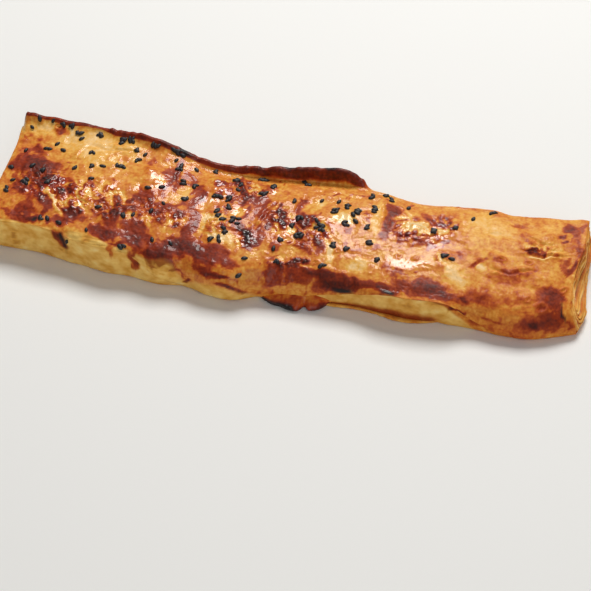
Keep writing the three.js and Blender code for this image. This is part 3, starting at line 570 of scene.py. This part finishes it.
def mesh_object(name, points, faces, fields=None, smooth=True):
    """A mesh object from points in millimetres, with named values for its material at each point."""
    mesh = bpy.data.meshes.new(name)
    mesh.from_pydata((points * MM).tolist(), [], [list(map(int, face)) for face in faces])
    for field, values in (fields or {}).items():
        attribute = mesh.attributes.new(field, "FLOAT", "POINT")
        attribute.data.foreach_set("value", np.asarray(values, np.float32))
    mesh.polygons.foreach_set("use_smooth", np.full(len(mesh.polygons), smooth))
    mesh.update()
    mesh.validate()
    piece = bpy.data.objects.new(name, mesh)
    bpy.context.scene.collection.objects.link(piece)
    return piece


def finish_piece(piece, material):
    """Gives a piece its material and lets it stand for the solid pastry."""
    piece.data.materials.append(material)
    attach(piece, BODY)
    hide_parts("borek")


# ---- the crust --------------------------------------------------------------------------------
def crease(x, up, start, end, depth):
    """A crease with a ridge beside it along a straight line on the skin, as a height."""
    (x0, u0), (x1, u1) = start, end
    dx, du = x1 - x0, u1 - u0
    t = np.clip(((x - x0) * dx + (up - u0) * du) / (dx * dx + du * du), 0, 1)
    gap = np.hypot(x - x0 - t * dx, up - u0 - t * du)
    fade = np.sin(np.pi * np.clip(t * 0.9 + 0.05, 0, 1))
    return depth * fade * (0.5 * np.exp(-((gap - 1.5) / 1.0) ** 2) - np.exp(-(gap / 0.7) ** 2))


def crust_relief(x, across, points):
    """Height of the fine relief of the baked skin, and the values that its colours follow."""
    up = np.interp(across, *UP_KNOTS)
    upper = step(2.9, 3.3, across) * step(5.6, 5.3, across)
    warp = np.stack([noise(points, 9, 40 + k) for k in range(3)], 1) * 2.2
    warped = points + warp
    wx = x + 1.9 * noise(points, 7, 44) + 0.9 * noise(points, 2.4, 45)
    wu = up + 1.9 * noise(points, 7, 46) + 0.9 * noise(points, 2.4, 47)

    crackle = patches(wx, wu, CRACKLED) * upper
    soft = layered_noise(warped, 11, 2, 50)
    folds = ridges(warped, 8, 3, 54)
    drawn = np.stack([x * 0.46 - points[:, 1] * 0.89, (x * 0.89 + points[:, 1] * 0.46) * 1.7,
                      points[:, 2]], 1)
    wrinkles = ridges(drawn + warp * 0.6, 4.6, 2, 60)
    gap, draw = cells(warped, 4.6, 70)
    blisters = np.clip(1 - (gap / (1.0 + 1.1 * draw)) ** 2, 0, 1) ** 1.5 * (draw > 0.42)

    height = 0.5 * soft + 0.8 * (folds - 0.4) * (0.3 + 0.7 * upper)
    height += upper * (0.2 + 1.3 * crackle) * (wrinkles - 0.4)
    height += upper * blisters * (0.3 + 0.3 * crackle)
    for start, end, depth in CREASES:
        height += crease(wx, wu, start, end, depth)
    rings = np.zeros_like(x)
    for cx, cu, radius in RINGS:
        d = np.hypot(wx * 0.3 + x * 0.7 - cx, wu * 0.3 + up * 0.7 - cu) / radius
        rings += np.exp(-((d - 0.8) / 0.28) ** 2) - 0.7 * np.exp(-(d / 0.5) ** 2)
    height += 0.5 * rings

    bare = step(0.12, -0.06, across - wash_line(x) + 0.05 * noise(points, 6, 31)) * (across >= 1)
    bare = bare * (across < 5)
    drip = np.zeros_like(x)
    for cx, lowest, half in DRIPS:
        beside = np.abs(wx - cx) / (half * (0.7 + 0.3 * step(lowest, lowest + 8, wu)))
        drip = np.maximum(drip, step(1.3, 0.6, beside) * step(lowest - 1, lowest + 2, wu))
    bare = bare * (1 - 0.95 * drip)
    layers = np.abs(noise(points * np.array([0.12, 1, 1]), 0.9, 90))
    height += bare * 0.2 * (layers - 0.4)
    under_hem = step(1.42, 1.18, across) * step(21, 27, x) * step(76, 68, x) * (across >= 1)
    bare = bare * (1 - 0.85 * under_hem)
    ragged_across = across + 0.12 * noise(points, 7, 121)
    bare = np.where(across >= 6, 0.75 * step(6.15, 6.6, ragged_across), bare)

    grain = layered_noise(warped, 4.2, 3, 104)
    bake = BASE_BAKE + 0.06 * step(2, -4, up) + 0.07 * layered_noise(warped, 14, 2, 100)
    bake += 0.05 * grain + 0.08 * (folds - 0.4)
    veins = step(0.22, 0.0, np.abs(noise(warped, 6.5, 110)))
    veins += 0.7 * step(0.3, 0.0, np.abs(noise(warped, 2.8, 111)))
    bake += (0.08 + 0.09 * crackle) * (veins - 0.4)
    # browning marks; some of the lighter ones are painted highlights
    for cx, cu, length, width, turn, strength in BAKE_MARKS_AND_PAINTED_HIGHLIGHTS:
        bake += strength * patch(wx, wu, (cx, cu, length, width, turn))
    # the browning comes in spots with crisp edges, more of them where the bake is stronger
    share = np.clip((bake - 0.3) / 0.4, 0, 1)
    large, small = noise(drawn + warp, 6.5, 106), noise(drawn + 0.5 * warp, 2.8, 107)
    spread = 0.5 + 0.75 * (0.6 * large + 0.4 * small)
    spots = step(-0.12, 0.12, spread - 1 + share)
    calm = 1 - 0.55 * step(64, 84, wx) * step(118, 108, wx)
    bake += calm * SPOT_STRENGTH * (spots - share) * step(0.02, 0.2, share) * upper
    own_tone = np.modf(draw * 13.7)[0]
    bake += (0.14 + 0.85 * crackle) * (wrinkles - 0.42) + 0.24 * blisters * (own_tone - 0.4)
    room = DARKEST_CRUST - FULLY_BAKED
    over = np.maximum(bake - FULLY_BAKED, 0)
    bake = np.minimum(bake, FULLY_BAKED) + room * (1 - np.exp(-over / room))
    bake += (0.5 - bake) * 0.85 * np.clip(rings, 0, 1)
    stands = step(0.5, 2.5, lip_height(x))
    lip = step(0, 0.1, across - lip_brown_from(x) - 0.05 * noise(points, 5, 120)) * stands
    bake = bake * (1 - lip) + lip * (LIP_BAKE + 0.12 * soft + 0.1 * grain)
    # the back wall: pale low down, browner towards the lip
    high_up = step(6.75, 6.0, ragged_across)
    behind = BACK_BAKE + 0.12 * soft + 0.12 * grain + 0.1 * (folds - 0.4)
    behind += (BACK_BROWNS + BACK_BROWNS_AT_LIP * stands) * high_up
    bake = np.where(across >= 6, behind, bake)
    bake += 0.18 * drip * step(-12, -17, up)
    bake += (UNDER_HEM_BAKE - bake) * under_hem

    wash = upper * (1 - bare) * (1 - 0.8 * step(66, 84, wx))
    wash *= np.clip(0.3 + 0.2 * soft + 0.7 * patches(wx, wu, GLAZED), 0, 1)
    wash *= 1 - 0.85 * patches(x, up, DULL)
    return height, {
        "bake": bake, "bare": bare, "wash": np.clip(wash, 0, 1), "burn": patches(wx, wu, BURNS),
        "crackle": crackle,
    }


def evened(points, share, passes):
    """Evens out each outline where share is above 0; points are [station, ring]."""
    for _ in range(passes):
        middle = (np.roll(points, 1, axis=1) + np.roll(points, -1, axis=1)) / 2
        points = points + share * (middle - points)
    return points


def ragged_lip(x, across):
    """Height that makes the rim of the standing lip uneven."""
    line = np.stack([x, 0 * x, 0 * x], 1)
    uneven = 0.55 * noise(line, 5, 130) + 0.35 * noise(line, 1.9, 131)
    return uneven * step(5.2, 5.46, across) * step(5.85, 5.58, across) * step(1, 3, lip_height(x))


def crust_grid(settings):
    """The crust's points [station, ring] with their stations, ring places, normals and fields."""
    per_zone = [10, 26, 6, 40, 92, 42, 18]
    ring = np.concatenate([zone + np.arange(count) / count for zone, count in enumerate(per_zone)])
    stations = np.linspace(TOP_LEFT, TOP_RIGHT, settings.stations)
    shape = (len(stations), len(ring))
    x, across = (a.ravel() for a in np.meshgrid(stations, ring, indexing="ij"))
    points = skin(x, across)
    points[:, 2] += ragged_lip(x, across)
    shoulder = 0.5 * step(3.3, 3.6, ring) * step(4.5, 4.2, ring)
    points = evened(points.reshape(*shape, 3), shoulder[None, :, None], 60)
    hollow = 0.5 * step(4.8, 4.95, ring) * step(5.4, 5.3, ring)
    at_left = step(-38, -46, stations)
    points = evened(points, hollow[None, :, None] * at_left[:, None, None], 60).reshape(-1, 3)
    facing = normals(points, grid_faces(*shape))
    height, fields = crust_relief(x, across, points)
    flat = step(0.0, 0.9, points[:, 2])
    rim = 1 - np.maximum(step(TOP_RIGHT - 1.2, TOP_RIGHT, x), step(TOP_LEFT + 1.2, TOP_LEFT, x)) * 0.7
    points = points + facing * (height * settings.relief * flat * rim)[:, None]
    points[:, 2] = np.maximum(points[:, 2], 0)
    return stations, ring, points.reshape(*shape, 3), facing.reshape(*shape, 3), fields


def drawn_in(loop, inset):
    """The loop of an end outline, drawn in towards its own middle by about this many millimetres."""
    low, high = loop.min(0), loop.max(0)
    middle, half = (low + high) / 2, (high - low) / 2
    share = 1 - np.asarray(inset)[..., None] / np.maximum(half[1:], 1e-6)
    return np.concatenate([loop[:, :1], middle[1:] + (loop[:, 1:] - middle[1:]) * share], axis=1)


def crust_object(settings):
    """The crust: a fine loft with relief. At both ends its edge curls in round a hollow face."""
    stations, ring, grid, _facing, fields = crust_grid(settings)
    count = len(ring)
    quads = grid_faces(len(stations), count)
    points = [grid.reshape(-1, 3)]
    values = {name: [field] for name, field in fields.items()}
    faces = quads.tolist()
    total = len(stations) * count
    curl = ((0.12, 0.3), (0.0, 0.62), (-0.4, END_CURL), (-END_HOLLOW, END_CURL + 0.3))
    for station, outward in ((0, -1), (len(stations) - 1, 1)):
        last = station * count
        for depth, inset in curl:
            loop = drawn_in(grid[station], np.full(count, inset))
            loop[:, 0] += outward * depth
            loop[:, 2] = np.maximum(loop[:, 2], 0)
            for j in range(count):
                k = (j + 1) % count
                quad = [last + j, total + j, total + k, last + k]
                faces.append(quad if outward > 0 else quad[::-1])
            points.append(loop)
            edge = slice(station * count, station * count + count)
            for name, field in fields.items():
                values[name].append(field[edge])
            last = total
            total += count
        points.append(points[-1].mean(0)[None])
        for name in fields:
            values[name].append(np.array([0.5]))
        for j in range(count):
            face = (last + j, total, last + (j + 1) % count)
            faces.append(face if outward > 0 else face[::-1])
        total += 1
    values = {name: np.concatenate(parts) for name, parts in values.items()}
    return mesh_object("crust", np.vstack(points), faces, values)


def strip_object(name, path, fields):
    """A closed body from cross-sections path[row, corner]; fields are values [row, corner]."""
    rows, corners = path.shape[:2]
    faces = grid_faces(rows, corners).tolist()
    faces += [list(range(corners)), [(rows - 1) * corners + k for k in range(corners)][::-1]]
    values = {field: np.broadcast_to(value, (rows, corners)).ravel() for field, value in fields.items()}
    return mesh_object(name, path.reshape(-1, 3), faces, values)


def end_layers(outward):
    """The rolled sheets that show on an end face: one long sheet wound inwards, its rim uneven."""
    edge = TOP_RIGHT if outward > 0 else TOP_LEFT
    outer = skin(np.full(700, edge), np.linspace(0, 7, 700, endpoint=False))
    half = (outer.max(0) - outer.min(0)) / 2
    turns = (half[2] - END_CURL - 0.9) / LAYER_PITCH
    turn = np.linspace(0, turns, int(turns * 170))
    inset = END_CURL + 0.15 + LAYER_PITCH * turn
    loop = outer[(turn % 1 * 700).astype(int)]
    inner_size = 1 - inset / half[2]
    along_it = np.stack([np.cumsum(np.linalg.norm(np.diff(loop, axis=0, prepend=loop[:1]), axis=1)
                                   * inner_size), 0 * turn, 0 * turn], 1)
    inset = inset + 0.16 * noise(along_it, 7, 140)
    stands = 0.2 + 0.45 * noise(along_it, 16, 141) + 0.4 * noise(along_it, 4, 142)
    stands += 0.15 * noise(along_it, 1.2, 143) + END_SWELL * (1 - inner_size ** 2)
    stands = np.maximum(stands, -END_HOLLOW + 0.8)
    rim = 0.22
    corners = [(-LAYER_DEPTH, 0.0), (-rim, 0.0), (-0.05, 0.25), (-0.05, 0.5), (-rim, LAYER_THICKNESS),
               (-LAYER_DEPTH, LAYER_THICKNESS)]
    sections = []
    for depth, across_it in corners:
        place = drawn_in(loop, inset + across_it * step(0, 0.1, turns - turn))
        reach = end_reach(place[:, 1] - SIDEWAYS, place[:, 2], back_height(edge), outward)
        place[:, 0] = edge + LENGTHWAYS + outward * (reach + stands + depth)
        sections.append(place)
    path = np.stack(sections, 1)
    if outward < 0:
        path = path[:, ::-1]
    rows = path[:, :, 0] * 0
    tone = (0.3 + 0.14 * noise(along_it, 9, 144) + 0.12 * noise(along_it, 2.5, 145))[:, None] + rows
    # painted shade: each sheet is darker deep in the gaps between the sheets and lighter at its rim
    deep = np.array([0.35, 0.04, -0.1, -0.1, 0.04, 0.35])
    tone = tone + (deep if outward > 0 else deep[::-1])
    fields = {"bake": tone, "bare": 0.2 + rows, "wash": 0.1 + rows, "burn": rows, "crackle": rows}
    return strip_object("end_layers_right" if outward > 0 else "end_layers_left", path, fields)


def leaf_path(span, reach, corners, rows):
    """Cross-sections of a thin leaf along the front foot. A corner is (share of the reach, further
    out, height); the leaf lies on the front wall from span[0] to span[1]."""
    x = np.linspace(*span, rows)
    wall = front_edge(x) + hem_thickness(x) * wholeness(x) + SIDEWAYS
    out = reach(x)
    path = [np.stack([x + LENGTHWAYS, wall - share * out - more, np.full(rows, height)], 1)
            for share, more, height in corners]
    return x, np.stack(path, 1)


def flake_object():
    """The loose flake of crust at the front foot, burnt along its lower edge."""
    corners = [(0, -3.0, 6.6), (0, -0.6, 6.2), (0, 0.25, 5.2), (0.3, 0.35, 4.2), (0.6, 0.3, 3.2),
               (0.85, 0.2, 2.2), (0.97, 0.1, 1.4), (1, 0, 0.8), (0.96, -0.2, 0.35), (0.8, -0.5, 0.5),
               (0.4, -0.8, 1.0), (0, -3.0, 1.6)]
    x, path = leaf_path(FLAKE_SPAN, flake_reach, corners, 150)
    flat = path.reshape(-1, 3)
    bumps = 0.3 * noise(flat, 4, 150) + 0.16 * noise(flat, 1.6, 151)
    at, height = FLAKE_BLISTER
    blister = np.exp(-((flat[:, 0] - at) ** 2 + (flat[:, 2] - height) ** 2) / 3.0)
    low = step(5.6, 4.0, flat[:, 2])
    flat[:, 1] -= (bumps + 0.9 * blister) * low
    start, end = FLAKE_SPAN
    arch = np.sin(np.pi * np.clip((flat[:, 0] - start) / (end - start), 0, 1)) ** 0.7
    flat[:, 2] *= 1 - (1 - arch) * 0.7 * step(1.5, 5, flat[:, 2])
    flat[:, 2] = np.maximum(flat[:, 2] + 0.4 * bumps * low, 0.05)
    edge = np.array([0, 0, 0, 0.15, 0.42, 0.7, 0.92, 1, 1, 1, 1, 1])
    left = step(18, 11, x)[:, None]
    rows = path[:, :, 0] * 0
    mottled = noise(flat, 2.4, 152).reshape(rows.shape)
    tone = 0.44 + 0.34 * edge + 0.18 * mottled
    burnt = step(0.4, 0.68, edge * left + 0.14 * mottled)
    fields = {"bake": tone, "bare": rows, "wash": 0.45 + rows, "burn": burnt, "crackle": rows}
    return strip_object("flake", flat.reshape(path.shape), fields)


def under_sheet_object():
    """The thin baked sheet whose edge shows below the pale wall."""
    corners = [(0, -5.0, 0.5), (0.4, -1.0, 1.0), (0.9, -0.3, 1.35), (1, 0, 1.15), (1, 0, 0.6),
               (0.9, -0.3, 0.3), (0, -5.0, 0.05)]
    _x, path = leaf_path(UNDER_SPAN, under_reach, corners, 220)
    rows = path[:, :, 0] * 0
    line = path.reshape(-1, 3) * np.array([1, 0, 0])
    uneven = (0.35 * noise(line, 5, 160) + 0.2 * noise(line, 1.6, 161)).reshape(rows.shape)
    outer = np.array([0, 0.5, 1, 1, 1, 1, 0])
    path[:, :, 1] -= uneven * outer
    path[:, :, 2] = np.maximum(path[:, :, 2] + 0.3 * uneven * outer, 0.03)
    tone = 0.4 + 0.12 * noise(path.reshape(-1, 3), 3, 162).reshape(rows.shape) - 0.12 * outer
    fields = {"bake": tone, "bare": 0.2 + rows, "wash": rows, "burn": rows, "crackle": rows}
    return strip_object("under_sheet", path, fields)


# ---- the seeds --------------------------------------------------------------------------------
def draws(seed):
    """Seeded draws between 0 and 1."""
    state = seed
    while True:
        state = (state * 1664525 + 1013904223) & 0xFFFFFFFF
        yield state / 4294967296


def seed_shape(sides=10, rings=7):
    """One seed of unit half axes: a drop that narrows to a blunt tip at +X, with flattened flanks."""
    points = [(-1, 0, 0)]
    for i in range(1, rings):
        a = np.pi * i / rings
        reach = -np.cos(a)
        girth = np.sin(a) * (1 - 0.28 * step(-0.2, 1, reach))
        for j in range(sides):
            b = 2 * np.pi * j / sides
            ridge = 1 + 0.07 * np.cos(3 * b)
            points.append((reach, girth * np.cos(b) * ridge, girth * np.sin(b) * ridge))
    points.append((1, 0, 0))
    last = len(points) - 1
    faces = []
    for j in range(sides):
        k = (j + 1) % sides
        faces.append((0, 1 + k, 1 + j))
        for i in range(rings - 2):
            a = 1 + i * sides
            faces.append((a + j, a + k, a + sides + k, a + sides + j))
        faces.append((last, last - sides + j, last - sides + k))
    return np.array(points, float), faces


def seeds_object(settings, crust_settings):
    """All seeds as one mesh, each lying on the crust at its own heading."""
    stations, ring, grid, facing, _fields = crust_grid(crust_settings)
    shape, shape_faces = seed_shape()
    draw = draws(SEED_DRAW)
    points, faces = [], []
    for cx, ca, count, along_spread, across_spread in SEED_GROUPS:
        for _ in range(count):
            x = cx + (2 * next(draw) - 1) * along_spread
            across = ca + (2 * next(draw) - 1) * across_spread
            heading = next(draw) * np.pi
            size = 1 + (2 * next(draw) - 1) * SEED_VARIES
            i = int(np.argmin(abs(stations - x)))
            j = int(np.argmin(abs(ring - across)))
            around = grid[max(i - 1, 0):i + 2, j - 1:j + 2].reshape(-1, 3)
            up = facing[max(i - 2, 0):i + 3, j - 2:j + 3].reshape(-1, 3).mean(0)
            up /= np.linalg.norm(up)
            side = np.cross(up, (1.0, 0.0, 0.0))
            side /= np.linalg.norm(side)
            lengthways = np.cross(side, up)
            half = np.array([settings.length, settings.width, settings.thickness]) * size / 2
            local = shape * half
            turned = np.stack([
                local[:, 0] * math.cos(heading) - local[:, 1] * math.sin(heading),
                local[:, 0] * math.sin(heading) + local[:, 1] * math.cos(heading),
                local[:, 2],
            ], 1)
            first = len(points) * len(shape)
            middle = around.mean(0) + up * SEED_LIES_UP
            points.append(turned @ np.stack([lengthways, side, up]) + middle)
            faces += [[first + corner for corner in face] for face in shape_faces]
    return mesh_object("seeds", np.vstack(points), faces)


# ---- materials --------------------------------------------------------------------------------
def linear(hex_colour, alpha=1.0):
    """An sRGB hex colour as the linear values that shaders use."""
    parts = [int(hex_colour[i:i + 2], 16) / 255 for i in (1, 3, 5)]
    return (*[c / 12.92 if c <= 0.04045 else ((c + 0.055) / 1.055) ** 2.4 for c in parts], alpha)


def add_node(tree, kind, inputs=None, **settings):
    """Adds a node, sets its properties, and sets or links its inputs."""
    node = tree.nodes.new(kind)
    for name, value in settings.items():
        setattr(node, name, value)
    for socket, value in (inputs or {}).items():
        if isinstance(value, bpy.types.NodeSocket):
            tree.links.new(value, node.inputs[socket])
        else:
            node.inputs[socket].default_value = value
    return node


def new_material(name):
    """An empty material with its output, as (material, tree, output)."""
    material = bpy.data.materials.new(name)
    material.use_nodes = True
    material.node_tree.nodes.clear()
    return material, material.node_tree, add_node(material.node_tree, "ShaderNodeOutputMaterial")


def field(tree, name):
    """The value that a mesh carries under this name."""
    return add_node(tree, "ShaderNodeAttribute", attribute_name=name).outputs["Fac"]


def maths(tree, operation, *values):
    """One sum of numbers or sockets."""
    node = add_node(tree, "ShaderNodeMath", dict(enumerate(values)), operation=operation)
    return node.outputs[0]


def colour_run(tree, factor, stops):
    """A colour that runs through stops (place, hex colour)."""
    node = add_node(tree, "ShaderNodeValToRGB", {"Fac": factor})
    ramp = node.color_ramp
    while len(ramp.elements) < len(stops):
        ramp.elements.new(0.5)
    for element, (place, colour) in zip(ramp.elements, stops):
        element.position = place
        element.color = linear(colour)
    return node.outputs["Color"]


def pattern(tree, size_mm, detail=3.0, stretch=(1, 1, 1)):
    """Noise whose features are about this many millimetres wide."""
    where = add_node(tree, "ShaderNodeTexCoord").outputs["Object"]
    moved = add_node(tree, "ShaderNodeVectorMath", {0: where, 1: stretch}, operation="MULTIPLY")
    node = add_node(tree, "ShaderNodeTexNoise", {
        "Vector": moved.outputs[0], "Scale": 1 / (size_mm * MM), "Detail": detail, "Roughness": 0.55,
    })
    return node.outputs["Fac"]


WASHED_TONES = [(0.0, "#FFD996"), (0.2, "#F6B64C"), (0.35, "#DF7E24"), (0.5, "#C04810"),
                (0.65, "#962506"), (0.8, "#641204"), (0.92, "#380B06"), (1.0, "#1C0A0A")]
DRY_TONES = [(0.0, "#FBD298"), (0.2, "#F1B450"), (0.35, "#DB852C"), (0.5, "#C0581C"),
             (0.65, "#98340E"), (0.8, "#681E0A"), (0.92, "#3C130C"), (1.0, "#22100F")]
BARE_TONES = [(0.15, "#A8601E"), (0.38, "#E4A646"), (0.6, "#F9CC70"), (0.8, "#FFE29C")]


def crust_material():
    """The crust's material, made once."""
    name = "egg_washed_baked_filo"
    return bpy.data.materials.get(name) or new_crust_material(name)


def new_crust_material(name):
    """Filo dough brushed with egg and baked: a thin amber glaze over brown dough, which gives small
    sharp highlights on the wrinkles; where no egg was brushed it is bare, pale and dull."""
    material, tree, output = new_material(name)
    bake, bare, burn, wash = (field(tree, name) for name in ("bake", "bare", "burn", "wash"))
    mottle = maths(tree, "SUBTRACT", pattern(tree, 2.0, 1.0), 0.5)
    uneven = maths(tree, "MULTIPLY_ADD", field(tree, "crackle"), 0.3, 0.2)
    speck = maths(tree, "MULTIPLY_ADD", pattern(tree, 1.0, 0.0), 0.1, -0.05)
    tone = maths(tree, "ADD", maths(tree, "MULTIPLY_ADD", mottle, uneven, bake), speck)
    washed = colour_run(tree, tone, WASHED_TONES)
    dry = colour_run(tree, tone, DRY_TONES)
    streaks = pattern(tree, 4.4, 2.5, (0.7, 1, 1))
    browned = maths(tree, "MAXIMUM", maths(tree, "SUBTRACT", bake, 0.44), 0.0)
    bare_colour = colour_run(tree, maths(tree, "MULTIPLY_ADD", browned, -1.1, streaks), BARE_TONES)
    skin_colour = add_node(tree, "ShaderNodeMix", {0: wash, 6: dry, 7: washed}, data_type="RGBA")
    dough = add_node(tree, "ShaderNodeMix", {0: bare, 6: skin_colour.outputs[2], 7: bare_colour},
                     data_type="RGBA")
    burnt = add_node(tree, "ShaderNodeMix", {0: burn, 6: dough.outputs[2], 7: linear("#221719")},
                     data_type="RGBA")
    rough = maths(tree, "MULTIPLY_ADD", wash, -0.25, 0.6)
    wrinkled = maths(tree, "ABSOLUTE", maths(tree, "SUBTRACT", pattern(tree, 2.4, 0.5), 0.5))
    deep = maths(tree, "MULTIPLY_ADD", field(tree, "crackle"), 3.0, 0.7)
    specks = maths(tree, "MULTIPLY", pattern(tree, 1.0, 0.0), 0.1)
    fine = maths(tree, "MULTIPLY_ADD", wrinkled, deep, specks)
    grain = add_node(tree, "ShaderNodeBump", {"Strength": 0.6, "Distance": 0.6 * MM, "Height": fine})
    shader = add_node(tree, "ShaderNodeBsdfPrincipled", {
        "Base Color": burnt.outputs[2], "Roughness": rough, "Coat Weight": wash,
        "Coat Roughness": 0.1, "Coat IOR": 1.45, "IOR": 1.4, "Specular IOR Level": 0.3,
        "Normal": grain.outputs[0], "Coat Normal": grain.outputs[0],
    })
    tree.links.new(shader.outputs[0], output.inputs[0])
    return material


def seed_material():
    """Black seeds: a dry, hard, faintly rough skin, nearly black with a cool grey shine."""
    material, tree, output = new_material("dry_black_seed")
    shade = colour_run(tree, pattern(tree, 0.6), [(0.3, "#161417"), (0.75, "#2E2B2F")])
    shader = add_node(tree, "ShaderNodeBsdfPrincipled", {"Base Color": shade, "Roughness": 0.5,
                                                         "IOR": 1.5})
    tree.links.new(shader.outputs[0], output.inputs[0])
    return material


def floor_material():
    """Matte white painted board: bright, even and without shine."""
    material, tree, output = new_material("matte_white_board")
    shader = add_node(tree, "ShaderNodeBsdfPrincipled", {"Base Color": linear("#F1F1EF"),
                                                         "Roughness": 0.7})
    tree.links.new(shader.outputs[0], output.inputs[0])
    return material


# ---- add-on -----------------------------------------------------------------------------------
class BorekCrustSettings(bpy.types.PropertyGroup):
    """Sizes of the baked crust."""
    stations: IntProperty(name="Stations", description="Outlines along the roll", default=412, min=60)
    relief: FloatProperty(name="Relief", description="Strength of wrinkles and blisters", default=1.0,
                          min=0, max=3, subtype="FACTOR")


class BorekSeedSettings(bpy.types.PropertyGroup):
    """Sizes of the seeds, in millimetres."""
    length: FloatProperty(name="Length", description="Length of a seed in millimetres", default=2.9)
    width: FloatProperty(name="Width", description="Width of a seed in millimetres", default=1.75)
    thickness: FloatProperty(name="Thickness", description="Thickness in millimetres", default=1.5)


class BorekStageSettings(bpy.types.PropertyGroup):
    """The camera and the light."""
    azimuth: FloatProperty(name="Azimuth", description="Camera's angle round the object",
                           default=math.radians(14.5), subtype="ANGLE")
    elevation: FloatProperty(name="Elevation", description="Camera's angle above the floor",
                             default=math.radians(43.0), subtype="ANGLE")
    distance: FloatProperty(name="Distance", description="From the camera to its aim", default=0.738,
                            unit="LENGTH")
    lens: FloatProperty(name="Lens", description="Focal length in millimetres", default=109.6)
    aim: FloatVectorProperty(name="Aim", description="Point at the picture's centre",
                             default=(0.01175, -0.0240, 0.0), subtype="XYZ", unit="LENGTH")


class OBJECT_OT_borek_crust(bpy.types.Operator):
    """Makes the baked crust"""
    bl_idname = "object.borek_crust"
    bl_label = "Baked crust"

    def execute(self, context):
        finish_piece(crust_object(context.scene.borek_crust), crust_material())
        return {"FINISHED"}


class OBJECT_OT_borek_end_layers(bpy.types.Operator):
    """Makes the edges of the rolled sheets on both end faces"""
    bl_idname = "object.borek_end_layers"
    bl_label = "End layers"

    def execute(self, context):
        for outward in (-1, 1):
            finish_piece(end_layers(outward), crust_material())
        return {"FINISHED"}


class OBJECT_OT_borek_loose_edges(bpy.types.Operator):
    """Makes the burnt flake and the thin sheet at the front foot"""
    bl_idname = "object.borek_loose_edges"
    bl_label = "Loose edges"

    def execute(self, context):
        for piece in (flake_object(), under_sheet_object()):
            finish_piece(piece, crust_material())
        return {"FINISHED"}


class OBJECT_OT_borek_seeds(bpy.types.Operator):
    """Scatters the black seeds over the crust"""
    bl_idname = "object.borek_seeds"
    bl_label = "Black seeds"

    def execute(self, context):
        scene = context.scene
        finish_piece(seeds_object(scene.borek_seeds, scene.borek_crust), seed_material())
        return {"FINISHED"}


class SCENE_OT_borek_stage(bpy.types.Operator):
    """Makes the floor, the light and the camera"""
    bl_idname = "scene.borek_stage"
    bl_label = "Floor, light and camera"

    def execute(self, context):
        stage = context.scene.borek_stage
        aim = Vector(stage.aim)
        back = Vector((
            math.sin(stage.azimuth) * math.cos(stage.elevation),
            -math.cos(stage.azimuth) * math.cos(stage.elevation),
            math.sin(stage.elevation),
        ))
        camera = bpy.data.objects.new("camera", bpy.data.cameras.new("camera"))
        camera.data.lens = stage.lens
        camera.data.sensor_width = 36.0
        camera.location = aim + back * stage.distance
        camera.rotation_mode = "QUATERNION"
        camera.rotation_quaternion = (-back).to_track_quat("-Z", "Y")
        context.scene.collection.objects.link(camera)
        context.scene.camera = camera

        corners = [(-FLOOR_HALF, -FLOOR_HALF, 0), (FLOOR_HALF, -FLOOR_HALF, 0),
                   (FLOOR_HALF, FLOOR_HALF, 0), (-FLOOR_HALF, FLOOR_HALF, 0)]
        floor = mesh_object("floor", np.array(corners), [(0, 1, 2, 3)])
        floor.data.materials.append(floor_material())

        # name, place and size in metres, power in watts
        lamps = [
            ("window", (0.0, 0.85, 1.15), 0.6, 17.5),
            ("fill", (0.5, -1.1, 0.9), 1.2, 6.0),
        ]
        for name, place, size, power in lamps:
            lamp = bpy.data.objects.new(name, bpy.data.lights.new(name, "AREA"))
            lamp.data.size = size
            lamp.data.energy = power
            lamp.data.color = (1.0, 0.985, 0.96)
            lamp.location = place
            lamp.rotation_mode = "QUATERNION"
            lamp.rotation_quaternion = (Vector((0, 0, 0.01)) - Vector(place)).to_track_quat("-Z", "Y")
            context.scene.collection.objects.link(lamp)

        world = bpy.data.worlds.new("white_room")
        world.use_nodes = True
        sky = world.node_tree.nodes["Background"]
        sky.inputs["Color"].default_value = (1.0, 0.985, 0.965, 1.0)
        sky.inputs["Strength"].default_value = 0.15
        context.scene.world = world
        context.scene.view_settings.view_transform = "Standard"
        return {"FINISHED"}


class VIEW3D_PT_borek(bpy.types.Panel):
    """Lists the borek's pieces in the sidebar"""
    bl_label = "Spinach borek"
    bl_space_type = "VIEW_3D"
    bl_region_type = "UI"
    bl_category = "Borek"

    def draw(self, context):
        column = self.layout.column()
        for settings in (context.scene.borek_crust, context.scene.borek_seeds):
            for name in settings.bl_rna.properties.keys():
                if name not in ("rna_type", "name"):
                    column.prop(settings, name)
        for operator in OPERATORS:
            column.operator(operator.bl_idname)


SETTINGS = {
    "borek_crust": BorekCrustSettings,
    "borek_seeds": BorekSeedSettings,
    "borek_stage": BorekStageSettings,
}
OPERATORS = [SCENE_OT_borek_stage, OBJECT_OT_borek_crust, OBJECT_OT_borek_end_layers,
             OBJECT_OT_borek_loose_edges, OBJECT_OT_borek_seeds]


def register():
    """Adds the settings, the operators and the panel."""
    for made in [*SETTINGS.values(), *OPERATORS, VIEW3D_PT_borek]:
        bpy.utils.register_class(made)
    for name, group in SETTINGS.items():
        setattr(bpy.types.Scene, name, PointerProperty(type=group))


def unregister():
    """Takes them away again."""
    for name in SETTINGS:
        delattr(bpy.types.Scene, name)
    for made in reversed([*SETTINGS.values(), *OPERATORS, VIEW3D_PT_borek]):
        bpy.utils.unregister_class(made)


def main():
    """Builds the stage and every piece."""
    register()
    bpy.ops.scene.borek_stage()
    bpy.ops.object.borek_crust()
    bpy.ops.object.borek_end_layers()
    bpy.ops.object.borek_loose_edges()
    bpy.ops.object.borek_seeds()


if __name__ == "__main__":
    main()
